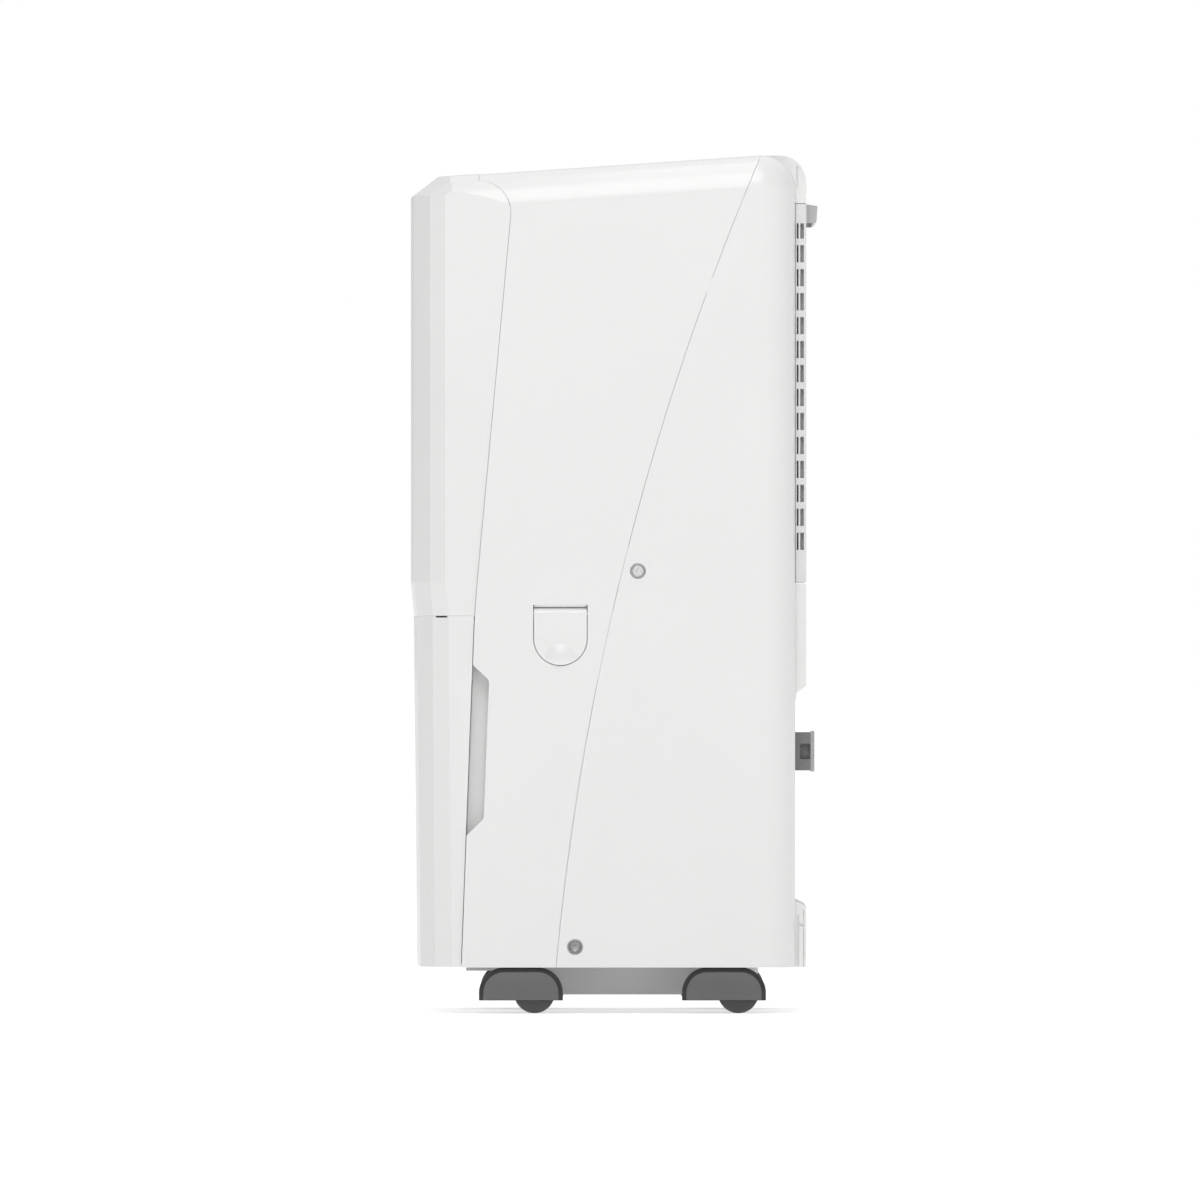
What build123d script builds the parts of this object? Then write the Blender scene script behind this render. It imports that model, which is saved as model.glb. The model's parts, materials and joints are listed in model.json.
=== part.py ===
from build123d import *
import math
import os

# Upright compressor dehumidifier on swivel casters, as separate pieces in one frame.
# The front faces -Y, +X is the right-hand side and +Z is up, in millimetres. The origin is on
# the floor, under the middle of the whole outline.

os.makedirs("parts", exist_ok=True)

# Casing
HALF_WIDTH = 195.5       # side walls of the two shells
PANEL_PROUD = 0.5        # front panel stands this far out of the shells
WALL = 2.6               # moulded wall
SEAM = 0.25              # groove between two fixed mouldings
BUCKET_SEAM = 0.5        # groove round the sliding bucket
BUCKET_LIFT = 0.4        # its lower edge above the casing's
CASING_Z = 33.2          # lower edge of the casing
TOP_Z = 616.6            # highest line, at the rear
TOP_FRONT_Y = -118.0     # where the sloping top meets the front bevel
TOP_FRONT_Z = 601.5
TOP_REAR_Y = 105.0       # where the sloping top reaches its full height
TOP_ROUND = 25.0         # rounded edge between top and sides
REAR_Y = 130.4           # rear wall
REAR_CORNER = 26.0       # upright rear corners
RAISED_Y = 138.4         # raised part of the rear, around the intake
RAISED_HALF = 164.0
BUCKET_TOP_Z = 286.0     # seam between front panel and bucket
STANDING = (Align.CENTER, Align.CENTER, Align.MIN)
REACH = 420.0            # longer than anything that is cut
MARGIN = 10.0            # how far a cut runs past the wall it goes through
ABOVE_TOP_Z = TOP_Z + 30

# Faceted front, as (height, crown, crown end, facet edge, side edge), the last four along Y
CROWN_X = 163.0
FACET_X = 184.0
SIDE_X = 191.5
FULL_WIDTH_Y = -78.0      # the front's sides widen as far back as this
BACK_Y = -60.0
FRONT_EDGES = (-146.65, -143.4, -131.9, -121.2)
FOOT_EDGES = (-142.0, -138.8, -128.4, -116.4)
SEAM_EDGES = (-144.5, -141.3, -130.2, -118.6)
BAND_Z = 310.0           # the front leans in from here down to the seam
BEVEL_Z = 587.5          # foot of the bevel round the front's upper edge
BEVEL_RISE = 0.76        # rise of that bevel over its run
BEVEL_TOP_Z = 607.0
bevel_run = (BEVEL_TOP_Z - BEVEL_Z) / BEVEL_RISE
PANEL_LEVELS = [
    (BUCKET_TOP_Z + BUCKET_SEAM / 2, *SEAM_EDGES),
    (BAND_Z, *FRONT_EDGES),
    (BEVEL_Z, *FRONT_EDGES),
    (BEVEL_TOP_Z, *(edge + bevel_run for edge in FRONT_EDGES)),
]
BUCKET_LEVELS = [
    (CASING_Z + BUCKET_LIFT, *FOOT_EDGES),
    (BUCKET_TOP_Z - BUCKET_SEAM / 2, *SEAM_EDGES),
]

# Edge of the front panel and bucket in side view, from the shoulder down, as (y, z)
SHOULDER_TOP = (-96.8, 598.4)
SHOULDER_MID = (-80.6, 591.6)
SHOULDER_LOW = (-73.8, 575.3)
EDGE_BAND = (-97.8, 313.0)
EDGE_BUCKET = (-99.9, 286.0)
EDGE_FOOT = (-109.4, CASING_Z)

# Arc where the front shell meets the rear shell in side view
SPLIT_TOP = (105.7, 616.0)
SPLIT_MID = (8.0, 326.0)
SPLIT_FOOT = (-41.5, CASING_Z)
SPLIT_LEAN = 8.0         # run of the split above the top

slope = math.atan2(TOP_Z - TOP_FRONT_Z, TOP_REAR_Y - TOP_FRONT_Y)
SLOPE_SIN = math.sin(slope)
SLOPE_COS = math.cos(slope)


def save(builder, name):
    """Label a finished piece and write it."""
    builder.part.label = name
    export_step(builder.part, f"parts/{name}.step")


def top_height(y):
    """Height of the sloping top at y."""
    return TOP_FRONT_Z + (y - TOP_FRONT_Y) * math.tan(slope)


def top_plane(y, depth=0.0):
    """Plane on the sloping top at y, or depth below it. Its x is +X and its y runs rearward."""
    normal = Vector(0, -SLOPE_SIN, SLOPE_COS)
    return Plane(origin=Vector(0, y, top_height(y)) - normal * depth, x_dir=(1, 0, 0), z_dir=normal)


def arch(inset):
    """Long solid with the casing's side walls, sloping top and rounded top edges, drawn in by inset."""
    across = Plane(
        origin=(0, 0, top_height(0)), x_dir=(1, 0, 0), z_dir=(0, -SLOPE_COS, -SLOPE_SIN)
    )
    with BuildPart() as form:
        with BuildSketch(across):
            with Locations((0, -inset)):
                Rectangle(2 * (HALF_WIDTH - inset), 2 * REACH, align=(Align.CENTER, Align.MAX))
            fillet(vertices().group_by(Axis.Y)[-1], TOP_ROUND - inset)
        extrude(amount=REACH, both=True)
    return form.part


def rear_form(inset):
    """Flat-topped rear of the casing with rounded upright corners and top edges, drawn in by inset."""
    with BuildPart() as form:
        with BuildSketch(Plane.XY.offset(CASING_Z - MARGIN)):
            with Locations((0, REAR_Y - inset)):
                Rectangle(2 * (HALF_WIDTH - inset), REACH, align=(Align.CENTER, Align.MAX))
            fillet(vertices().group_by(Axis.Y)[-1], REAR_CORNER - inset)
        extrude(amount=TOP_Z - inset - CASING_Z + MARGIN)
        fillet(faces().sort_by(Axis.Z)[-1].edges(), TOP_ROUND - 1 - inset)
    return form.part


def faceted_front(levels, inset):
    """Solid between the levels of the faceted front, drawn in by inset on every side."""
    with BuildPart() as form:
        for lower, upper in zip(levels, levels[1:]):
            for height, crown, crown_end, facet, side in (lower, upper):
                lift = inset if height == levels[0][0] else 0
                lift = -inset if height == levels[-1][0] else lift
                with BuildSketch(Plane.XY.offset(height + lift)):
                    with BuildLine():
                        ThreePointArc((-CROWN_X, crown_end), (0, crown), (CROWN_X, crown_end))
                        Polyline(
                            (CROWN_X, crown_end),
                            (FACET_X, facet),
                            (SIDE_X, side),
                            (HALF_WIDTH + PANEL_PROUD, FULL_WIDTH_Y),
                            (HALF_WIDTH + PANEL_PROUD, BACK_Y),
                            (-HALF_WIDTH - PANEL_PROUD, BACK_Y),
                            (-HALF_WIDTH - PANEL_PROUD, FULL_WIDTH_Y),
                            (-SIDE_X, side),
                            (-FACET_X, facet),
                            (-CROWN_X, crown_end),
                        )
                    make_face()
                    if inset:
                        offset(amount=-inset, kind=Kind.INTERSECTION)
            loft(ruled=True)
    return form.part


def panel_form(inset):
    """Front panel as a full block: faceted and bevelled front under the casing's rounded top."""
    front = faceted_front(PANEL_LEVELS, inset)
    rounded = arch(inset - PANEL_PROUD)
    with BuildPart() as form:
        add(front)
        add(rounded, mode=Mode.INTERSECT)
    return form.part


def panel_edge_lines(shift):
    """Lines of the panel's rear edge from above the top down to the foot, moved by shift along Y."""
    def moved(point):
        return (point[0] + shift, point[1])
    Line((SHOULDER_TOP[0] + shift, ABOVE_TOP_Z), moved(SHOULDER_TOP))
    ThreePointArc(moved(SHOULDER_TOP), moved(SHOULDER_MID), moved(SHOULDER_LOW))
    Polyline(moved(SHOULDER_LOW), moved(EDGE_BAND), moved(EDGE_BUCKET), moved(EDGE_FOOT))


def split_lines(shift):
    """Lines of the arc between the shells from the foot to above the top, moved by shift along Y."""
    foot = (SPLIT_FOOT[0] + shift, SPLIT_FOOT[1])
    top = (SPLIT_TOP[0] + shift, SPLIT_TOP[1])
    ThreePointArc(foot, (SPLIT_MID[0] + shift, SPLIT_MID[1]), top)
    Line(top, (top[0] + SPLIT_LEAN, ABOVE_TOP_Z))


def front_of_edge(shift):
    """Everything ahead of the panel's rear edge."""
    with BuildPart() as region:
        with BuildSketch(Plane.YZ):
            with BuildLine():
                panel_edge_lines(shift)
                Polyline(
                    (EDGE_FOOT[0] + shift, EDGE_FOOT[1]),
                    (-REACH, CASING_Z),
                    (-REACH, ABOVE_TOP_Z),
                    (SHOULDER_TOP[0] + shift, ABOVE_TOP_Z),
                )
            make_face()
        extrude(amount=REACH, both=True)
    return region.part


# Front panel
panel_outer = panel_form(0)
panel_inner = panel_form(WALL)
ahead_of_panel_edge = front_of_edge(-SEAM / 2)
ahead_of_bucket_edge = front_of_edge(SEAM / 2 - BUCKET_SEAM)
with BuildPart() as front_panel:
    add(panel_outer)
    add(panel_inner, mode=Mode.SUBTRACT)
    add(ahead_of_panel_edge, mode=Mode.INTERSECT)
save(front_panel, "front_panel")

# Openings in the sloping top: control panel and air outlet, as (y, width, length, corner)
CONTROL_Y = -58.0
CONTROL_WIDTH = 250.0
CONTROL_LENGTH = 54.0
OUTLET_Y = 36.0
OUTLET_WIDTH = 252.0
OUTLET_LENGTH = 66.0
OPENING_CORNER = 6.0
OPENING_GAP = 0.4
FLANGE = 5.0             # rim of an insert under the edge of its opening
FLANGE_THICK = 1.8

# Finger grip beside the bucket, open towards the bucket's rear edge
GRIP = [(-110.0, 259.0), (-89.5, 239.4), (-93.3, 140.2), (-115.0, 118.8)]
GRIP_FLOOR_X = 183.0
GRIP_LINING = 2.2
GRIP_CORNER = 4.0

# Drain flap: a D with its hinge along the straight top edge
FLAP_Y = -38.3
FLAP_RADIUS = 19.5
FLAP_TOP_Z = 293.6
FLAP_ARC_Z = 269.3
FLAP_GAP = 0.5
FLAP_PIN_X = 190.9
FLAP_PIN_Z = 287.0
FLAP_PIN_RADIUS = 1.5
FLAP_BOSS = (5.6, 4.2, 9.0)   # bosses behind the wall that hold the pin's ends
FLAP_BOSS_Y = FLAP_RADIUS + 2.5


def flap_outline(gap, top_z):
    """Sketch the flap's D, drawn in by gap, with its straight edge at top_z."""
    with Locations((FLAP_Y, FLAP_ARC_Z)):
        Circle(FLAP_RADIUS - gap)
    with Locations((FLAP_Y, (top_z + FLAP_ARC_Z) / 2)):
        Rectangle(2 * (FLAP_RADIUS - gap), top_z - FLAP_ARC_Z)


# Front shell: side walls and sloping top between the panel edge and the split
arch_outer = arch(0)
arch_inner = arch(WALL)
half_seam = SEAM / 2
with BuildPart() as front_shell:
    add(arch_outer)
    add(arch_inner, mode=Mode.SUBTRACT)
    for side in (-1, 1):
        with BuildSketch(Plane.YZ.offset(side * (GRIP_FLOOR_X - GRIP_LINING))):
            with BuildLine():
                Polyline(*GRIP, close=True)
            make_face()
            offset(amount=GRIP_LINING, kind=Kind.INTERSECTION)
        extrude(amount=side * (HALF_WIDTH - WALL - GRIP_FLOOR_X + GRIP_LINING))
    with BuildSketch(Plane.YZ):
        with BuildLine():
            panel_edge_lines(half_seam)
            Line((EDGE_FOOT[0] + half_seam, CASING_Z), (SPLIT_FOOT[0] - half_seam, CASING_Z))
            split_lines(-half_seam)
            Line(
                (SPLIT_TOP[0] - half_seam + SPLIT_LEAN, ABOVE_TOP_Z),
                (SHOULDER_TOP[0] + half_seam, ABOVE_TOP_Z),
            )
        make_face()
    extrude(amount=REACH, both=True, mode=Mode.INTERSECT)
    for side in (-1, 1):
        with BuildSketch(Plane.YZ.offset(side * GRIP_FLOOR_X)):
            with BuildLine():
                Polyline(*GRIP, close=True)
            make_face()
            fillet(vertices(), GRIP_CORNER)
        extrude(amount=side * 3 * MARGIN, mode=Mode.SUBTRACT)
    for opening_y, width, length in (
        (CONTROL_Y, CONTROL_WIDTH, CONTROL_LENGTH),
        (OUTLET_Y, OUTLET_WIDTH, OUTLET_LENGTH),
    ):
        with BuildSketch(top_plane(opening_y)):
            RectangleRounded(width, length, OPENING_CORNER)
        extrude(amount=WALL + 2, both=True, mode=Mode.SUBTRACT)
    with BuildSketch(Plane.YZ.offset(HALF_WIDTH - WALL - 1)):
        flap_outline(0, FLAP_TOP_Z)
    extrude(amount=WALL + 2, mode=Mode.SUBTRACT)
    for side in (-1, 1):
        with Locations((HALF_WIDTH - WALL, FLAP_Y + side * FLAP_BOSS_Y, FLAP_PIN_Z)):
            Box(*FLAP_BOSS, align=(Align.MAX, Align.CENTER, Align.CENTER))
    with Locations(Location((FLAP_PIN_X, FLAP_Y, FLAP_PIN_Z), (90, 0, 0))):
        Cylinder(FLAP_PIN_RADIUS, 2 * (FLAP_BOSS_Y + MARGIN), mode=Mode.SUBTRACT)
save(front_shell, "front_shell")

# Drain flap, rolled round its pin along the top and with a thumb bump at the foot, and the pin
FLAP_THICK = 2.3
FLAP_SUNK = 0.1          # outer face below the wall
PIN_CLEARANCE = 0.06
BUMP_RADIUS = 11.5
BUMP_RISE = 2.2
BUMP_Z = 254.0
bump_sphere = (BUMP_RADIUS**2 + BUMP_RISE**2) / (2 * BUMP_RISE)
flap_outer_x = HALF_WIDTH - FLAP_SUNK
flap_width = 2 * (FLAP_RADIUS - FLAP_GAP)
flap_pin_at = Location((FLAP_PIN_X, FLAP_Y, FLAP_PIN_Z), (90, 0, 0))
with BuildPart() as thumb_bump:
    with BuildSketch(Plane.YZ.offset(flap_outer_x - FLAP_THICK / 2)):
        flap_outline(FLAP_GAP, FLAP_PIN_Z)
    extrude(amount=FLAP_THICK + BUMP_RISE)
    with Locations((flap_outer_x + BUMP_RISE - bump_sphere, FLAP_Y, BUMP_Z)):
        Sphere(bump_sphere, mode=Mode.INTERSECT)
with BuildPart() as drain_flap:
    with BuildSketch(Plane.YZ.offset(flap_outer_x)):
        flap_outline(FLAP_GAP, FLAP_PIN_Z)
    extrude(amount=-FLAP_THICK)
    add(thumb_bump.part)
    with Locations(flap_pin_at):
        Cylinder(flap_outer_x - FLAP_PIN_X, flap_width)
        Cylinder(FLAP_PIN_RADIUS + PIN_CLEARANCE, flap_width, mode=Mode.SUBTRACT)
save(drain_flap, "drain_flap")

with BuildPart() as drain_flap_pin:
    with Locations(flap_pin_at):
        Cylinder(FLAP_PIN_RADIUS, 2 * FLAP_BOSS_Y + FLAP_BOSS[1])
save(drain_flap_pin, "drain_flap_pin")

# Rear shell: sides, rear wall and rear of the top, with the raised surround of the intake
INTAKE_LOW_Z = 309.3
INTAKE_TOP_Z = 582.2
INTAKE_GAP = 0.4
INTAKE_EDGE = 0.5        # step under the intake
WINDOW_RIM = 3.0         # wall left above and below the intake window
WINDOW_HALF = 158.0
RAISED_FOOT_Z = 222.4
RAISED_ROUND = 19.0
RAISED_KNEE_Z = 230.3    # the raised part leans out slowly up to here
RAISED_FULL_Z = 235.4    # and is fully out from here
FOOT_FULL_Z = 76.7
FOOT_TOP_Y = 132.3
FOOT_TOP_Z = 79.9
GROOVE_DEPTH = 1.3
SIDE_GROOVES = [          # in the sides of the raised stretches, as opposite (y, z) corners
    ((131.3, 593.0), (132.5, 609.0)),
    ((132.2, CASING_Z - 1), (133.2, 70.0)),
    ((136.2, CASING_Z - 1), (136.9, 74.0)),
    ((133.2, 62.6), (136.2, 64.2)),
]
SCREW_SPOTS = [(17.4, 317.9), (-27.8, 48.0)]
SCREW_RECESS = 5.75
SCREW_FLOOR_X = 188.0
SCREW_BOSS = 8.0
SCREW_SHANK = 1.9
SCREW_SEAT = 2.2         # floor under a screw head
SCREW_HEAD = 4.2
SCREW_HEAD_RISE = 2.6
SCREW_LENGTH = 12.0
GLAND_X = -120.0
GLAND_Z = 188.0          # level with the strap bracket
GLAND_NECK = 6.4
GLAND_BORE = 4.0


def raised_profiles(inset):
    """Side-view outlines of the two lower raised stretches of the rear, drawn in by inset."""
    low_y = REAR_Y - WALL - inset
    out_y = RAISED_Y - inset
    lower = [
        (low_y, RAISED_FOOT_Z + 2 * inset),
        (REAR_Y - inset, RAISED_FOOT_Z + 2 * inset),
        (REAR_Y + 1 - inset, RAISED_KNEE_Z + 1.5 * inset),
        (out_y, RAISED_FULL_Z + inset),
        (out_y, INTAKE_LOW_Z - INTAKE_EDGE - inset),
        (low_y, INTAKE_LOW_Z - INTAKE_EDGE - inset),
    ]
    bump = [
        (low_y, CASING_Z + inset),
        (out_y, CASING_Z + inset),
        (out_y, FOOT_FULL_Z - inset),
        (FOOT_TOP_Y - inset, FOOT_TOP_Z - inset),
        (low_y, FOOT_TOP_Z - inset),
    ]
    return lower, bump


rear_outer = rear_form(0)
rear_inner = rear_form(WALL)
with BuildPart() as rear_shell:
    add(rear_outer)
    for inset, mode in ((0, Mode.ADD), (WALL, Mode.SUBTRACT)):
        if inset:
            add(rear_inner, mode=Mode.SUBTRACT)
        for outline in raised_profiles(inset):
            with BuildSketch(Plane.YZ):
                with BuildLine():
                    Polyline(*outline, close=True)
                make_face()
            extrude(amount=RAISED_HALF - inset, both=True, mode=mode)
        with BuildSketch(Plane.YZ):
            with BuildLine():
                low_y = REAR_Y - TOP_ROUND - inset
                out_y = RAISED_Y - inset
                high_z = TOP_Z - inset
                low_z = INTAKE_TOP_Z + INTAKE_GAP / 2 + inset
                Polyline((low_y, high_z), (low_y, low_z), (out_y, low_z), (out_y, high_z - RAISED_ROUND))
                RadiusArc((out_y, high_z - RAISED_ROUND), (out_y - RAISED_ROUND, high_z), -RAISED_ROUND)
                Line((out_y - RAISED_ROUND, high_z), (low_y, high_z))
            make_face()
        extrude(amount=RAISED_HALF - inset, both=True, mode=mode)
    with BuildSketch(Plane.YZ):
        with BuildLine():
            split_lines(half_seam)
            Polyline(
                (SPLIT_TOP[0] + half_seam + SPLIT_LEAN, ABOVE_TOP_Z),
                (REACH, ABOVE_TOP_Z),
                (REACH, CASING_Z),
                (SPLIT_FOOT[0] + half_seam, CASING_Z),
            )
        make_face()
    extrude(amount=REACH, both=True, mode=Mode.INTERSECT)
    with BuildSketch(Plane.XZ.offset(-REAR_Y)):
        with Locations((0, (INTAKE_LOW_Z + INTAKE_TOP_Z) / 2)):
            Rectangle(2 * WINDOW_HALF, INTAKE_TOP_Z - INTAKE_LOW_Z - 2 * WINDOW_RIM)
    extrude(amount=WALL + 2, both=True, mode=Mode.SUBTRACT)
    for side in (-1, 1):
        for y, z in SCREW_SPOTS:
            with BuildSketch(Plane.YZ.offset(side * (SCREW_FLOOR_X - SCREW_SEAT))):
                with Locations((y, z)):
                    Circle(SCREW_BOSS)
            extrude(amount=side * (HALF_WIDTH - 1 - SCREW_FLOOR_X + SCREW_SEAT))
            with BuildSketch(Plane.YZ.offset(side * SCREW_FLOOR_X)):
                with Locations((y, z)):
                    Circle(SCREW_RECESS)
            extrude(amount=side * 2 * MARGIN, mode=Mode.SUBTRACT)
            with BuildSketch(Plane.YZ.offset(side * (SCREW_FLOOR_X - MARGIN))):
                with Locations((y, z)):
                    Circle(SCREW_SHANK)
            extrude(amount=side * 2 * MARGIN, mode=Mode.SUBTRACT)
    for side in (-1, 1):
        for (low_y, low_z), (high_y, high_z) in SIDE_GROOVES:
            with Locations((side * RAISED_HALF, (low_y + high_y) / 2, (low_z + high_z) / 2)):
                Box(2 * GROOVE_DEPTH, high_y - low_y, high_z - low_z, mode=Mode.SUBTRACT)
    with Locations(Location((GLAND_X, REAR_Y, GLAND_Z), (90, 0, 0))):
        Cylinder(GLAND_NECK, 2 * MARGIN, mode=Mode.SUBTRACT)
save(rear_shell, "rear_shell")

# Casing screws, two a side
with BuildPart() as casing_screws:
    for side in (-1, 1):
        for y, z in SCREW_SPOTS:
            with BuildSketch(Plane.YZ.offset(side * SCREW_FLOOR_X)):
                with Locations((y, z)):
                    Circle(SCREW_HEAD)
            extrude(amount=side * SCREW_HEAD_RISE)
            with BuildSketch(Plane.YZ.offset(side * SCREW_FLOOR_X)):
                with Locations((y, z)):
                    Circle(SCREW_SHANK)
            extrude(amount=-side * SCREW_LENGTH)
save(casing_screws, "casing_screws")

# Intake grille: a shallow tray with a pull tab, whose slots wrap round its sides
SLOT_ROWS = 13
SLOT_PITCH = 17.23
SLOT_HEIGHT = 12.4
SLOT_TOP_Z = 552.3
SLOT_COLUMNS = 9
COLUMN_PITCH = 35.0
SLOT_WIDTH = 31.0
TRAY_PLATE = 1.5
TRAY_WALL = 2.2
TRAY_ROUND = 0.8
TRAY_CLEARANCE = 0.35
TAB_Y = 146.65
TAB_HALF = 150.0
TAB_CAP = 3.0            # closed ends of the hollow tab
TAB_LIP = 3.0
TAB_LEAN = 0.8
TAB_SLOPE = 1.5
TAB_WALL = 3.6
TAB_ROOF = 4.0
TOP_SLOT_HEIGHT = 11.0   # short slots beside the tab
PIVOT_ROUND = 1.6        # rolled lower edge on which the grille turns
TAB_LOW_Z = 568.2
TOP_SLOT_Z = (SLOT_TOP_Z + TAB_LOW_Z) / 2 + 2.2
SIDE_SLOTS = [(131.6, 132.9), (134.1, 136.7)]
tray_back_y = REAR_Y + TRAY_CLEARANCE
tray_low_z = INTAKE_LOW_Z + INTAKE_GAP / 2
tray_top_z = INTAKE_TOP_Z - INTAKE_GAP / 2
slot_mid_z = SLOT_TOP_Z - SLOT_HEIGHT / 2 - (SLOT_ROWS - 1) * SLOT_PITCH / 2
tray_size = (2 * RAISED_HALF, RAISED_Y - tray_back_y, tray_top_z - tray_low_z)
tray_mid_z = (tray_top_z + tray_low_z) / 2
tab_outline = [
    (RAISED_Y - TRAY_PLATE, tray_top_z),
    (TAB_Y, tray_top_z - TAB_SLOPE),
    (TAB_Y - TAB_LEAN, TAB_LOW_Z + 1),
    (TAB_Y - TAB_LIP, TAB_LOW_Z),
]
tab_hollow = [
    (TAB_Y - TAB_WALL, tray_top_z - TAB_ROOF),
    (RAISED_Y - TRAY_PLATE, tray_top_z - TAB_ROOF),
]
with BuildPart() as intake_grille:
    with BuildSketch(Plane.YZ):
        with Locations((RAISED_Y, tray_mid_z)):
            Rectangle(*tray_size[1:], align=(Align.MAX, Align.CENTER))
        fillet(vertices().group_by(Axis.X)[-1].sort_by(Axis.Y)[0], PIVOT_ROUND)
    extrude(amount=RAISED_HALF, both=True)
    fillet(edges().filter_by(Axis.Z).group_by(Axis.Y)[-1], TRAY_ROUND)
    with Locations((0, RAISED_Y - TRAY_PLATE, tray_mid_z)):
        Box(
            tray_size[0] - 2 * TRAY_WALL,
            2 * MARGIN,
            tray_size[2] - 2 * TRAY_WALL,
            align=(Align.CENTER, Align.MAX, Align.CENTER),
            mode=Mode.SUBTRACT,
        )
    with BuildSketch(Plane.XZ.offset(-RAISED_Y)):
        with Locations((0, slot_mid_z)):
            with GridLocations(COLUMN_PITCH, SLOT_PITCH, SLOT_COLUMNS, SLOT_ROWS):
                Rectangle(SLOT_WIDTH, SLOT_HEIGHT)
    extrude(amount=2 * TRAY_PLATE, both=True, mode=Mode.SUBTRACT)
    with BuildSketch(Plane.YZ):
        for near_y, far_y in SIDE_SLOTS:
            with Locations(((near_y + far_y) / 2, slot_mid_z)):
                with GridLocations(1, SLOT_PITCH, 1, SLOT_ROWS):
                    Rectangle(far_y - near_y, SLOT_HEIGHT)
            with Locations(((near_y + far_y) / 2, TOP_SLOT_Z)):
                Rectangle(far_y - near_y, TOP_SLOT_HEIGHT)
    extrude(amount=REACH, both=True, mode=Mode.SUBTRACT)
    with BuildSketch(Plane.YZ):
        with BuildLine():
            Polyline(*tab_outline, *tab_hollow, close=True)
        make_face()
    extrude(amount=TAB_HALF, both=True)
    for side in (-1, 1):
        with BuildSketch(Plane.YZ.offset(side * TAB_HALF)):
            with BuildLine():
                Polyline(*tab_outline, (RAISED_Y - TRAY_PLATE, TAB_LOW_Z), close=True)
            make_face()
        extrude(amount=-side * TAB_CAP)
save(intake_grille, "intake_grille")

# Air filter in the tray: a frame with windows and the mesh sheet that fills them
FILTER_HALF = 157.0
FILTER_LOW_Z = 315.0
FILTER_TOP_Z = 577.0
FILTER_FRONT_Y = 132.6
FILTER_THICK = RAISED_Y - TRAY_PLATE - FILTER_FRONT_Y
FILTER_GRID = (4, 3)
FILTER_BAR = 5.0
MESH_THICK = 0.6
filter_height = FILTER_TOP_Z - FILTER_LOW_Z
filter_mid_z = (FILTER_TOP_Z + FILTER_LOW_Z) / 2
window_x = (2 * FILTER_HALF - FILTER_BAR) / FILTER_GRID[0]
window_z = (filter_height - FILTER_BAR) / FILTER_GRID[1]
with BuildPart() as filter_frame:
    with BuildSketch(Plane.XZ.offset(-FILTER_FRONT_Y - FILTER_THICK)):
        with Locations((0, filter_mid_z)):
            Rectangle(2 * FILTER_HALF, filter_height)
            with GridLocations(window_x, window_z, *FILTER_GRID):
                Rectangle(window_x - FILTER_BAR, window_z - FILTER_BAR, mode=Mode.SUBTRACT)
    extrude(amount=FILTER_THICK)
save(filter_frame, "filter_frame")

with BuildPart() as filter_mesh:
    with BuildSketch(Plane.XZ.offset(-FILTER_FRONT_Y)):
        with Locations((0, filter_mid_z)):
            Rectangle(2 * FILTER_HALF - 2, filter_height - 2)
    extrude(amount=MESH_THICK)
save(filter_mesh, "filter_mesh")

# Cord-strap bracket and cord gland on the rear wall
BRACKET_X = 110.0
BRACKET_WIDTH = 34.0
BRACKET_Z = 188.15
BRACKET_HEIGHT = 29.1
BRACKET_OUT_Y = 141.8
BRACKET_FLANGE_Y = 144.5
BRACKET_STEP = 0.8       # its plate stands out above and below
BRACKET_ROUND = 1.5
STRAP_ROUND = 1.2
STRAP_SLOT = (134.1, 141.6, 182.4, 193.7)
STRAP_WEB = 24.0         # wall between the two pockets
with BuildPart() as cord_bracket:
    with Locations((BRACKET_X, REAR_Y, BRACKET_Z)):
        Box(
            BRACKET_WIDTH,
            BRACKET_OUT_Y - REAR_Y,
            BRACKET_HEIGHT - 2 * BRACKET_STEP,
            align=(Align.CENTER, Align.MIN, Align.CENTER),
        )
    with Locations((BRACKET_X, BRACKET_OUT_Y, BRACKET_Z)):
        Box(
            BRACKET_WIDTH,
            BRACKET_FLANGE_Y - BRACKET_OUT_Y,
            BRACKET_HEIGHT,
            align=(Align.CENTER, Align.MIN, Align.CENTER),
        )
    fillet(edges().filter_by(Axis.Y).group_by(Axis.Y)[-1], BRACKET_ROUND)
    for side in (-1, 1):
        with BuildSketch(Plane.YZ.offset(BRACKET_X + side * STRAP_WEB / 2)):
            with Locations(((STRAP_SLOT[0] + STRAP_SLOT[1]) / 2, (STRAP_SLOT[2] + STRAP_SLOT[3]) / 2)):
                RectangleRounded(STRAP_SLOT[1] - STRAP_SLOT[0], STRAP_SLOT[3] - STRAP_SLOT[2], STRAP_ROUND)
        extrude(amount=side * BRACKET_WIDTH, mode=Mode.SUBTRACT)
save(cord_bracket, "cord_bracket")

GLAND_FLANGE = 10.0
GLAND_RISE = 3.4
GLAND_ROUND = 1.4
GLAND_REACH = 8.0
with BuildPart() as cord_gland:
    with BuildSketch(Plane.XZ.offset(-REAR_Y)):
        with Locations((GLAND_X, GLAND_Z)):
            Circle(GLAND_FLANGE)
    extrude(amount=-GLAND_RISE)
    fillet(edges().group_by(Axis.Y)[-1], GLAND_ROUND)
    with BuildSketch(Plane.XZ.offset(-REAR_Y)):
        with Locations((GLAND_X, GLAND_Z)):
            Circle(GLAND_NECK)
    extrude(amount=GLAND_REACH)
    with Locations(Location((GLAND_X, REAR_Y, GLAND_Z), (90, 0, 0))):
        Cylinder(GLAND_BORE, 4 * MARGIN, mode=Mode.SUBTRACT)
save(cord_gland, "cord_gland")

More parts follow.
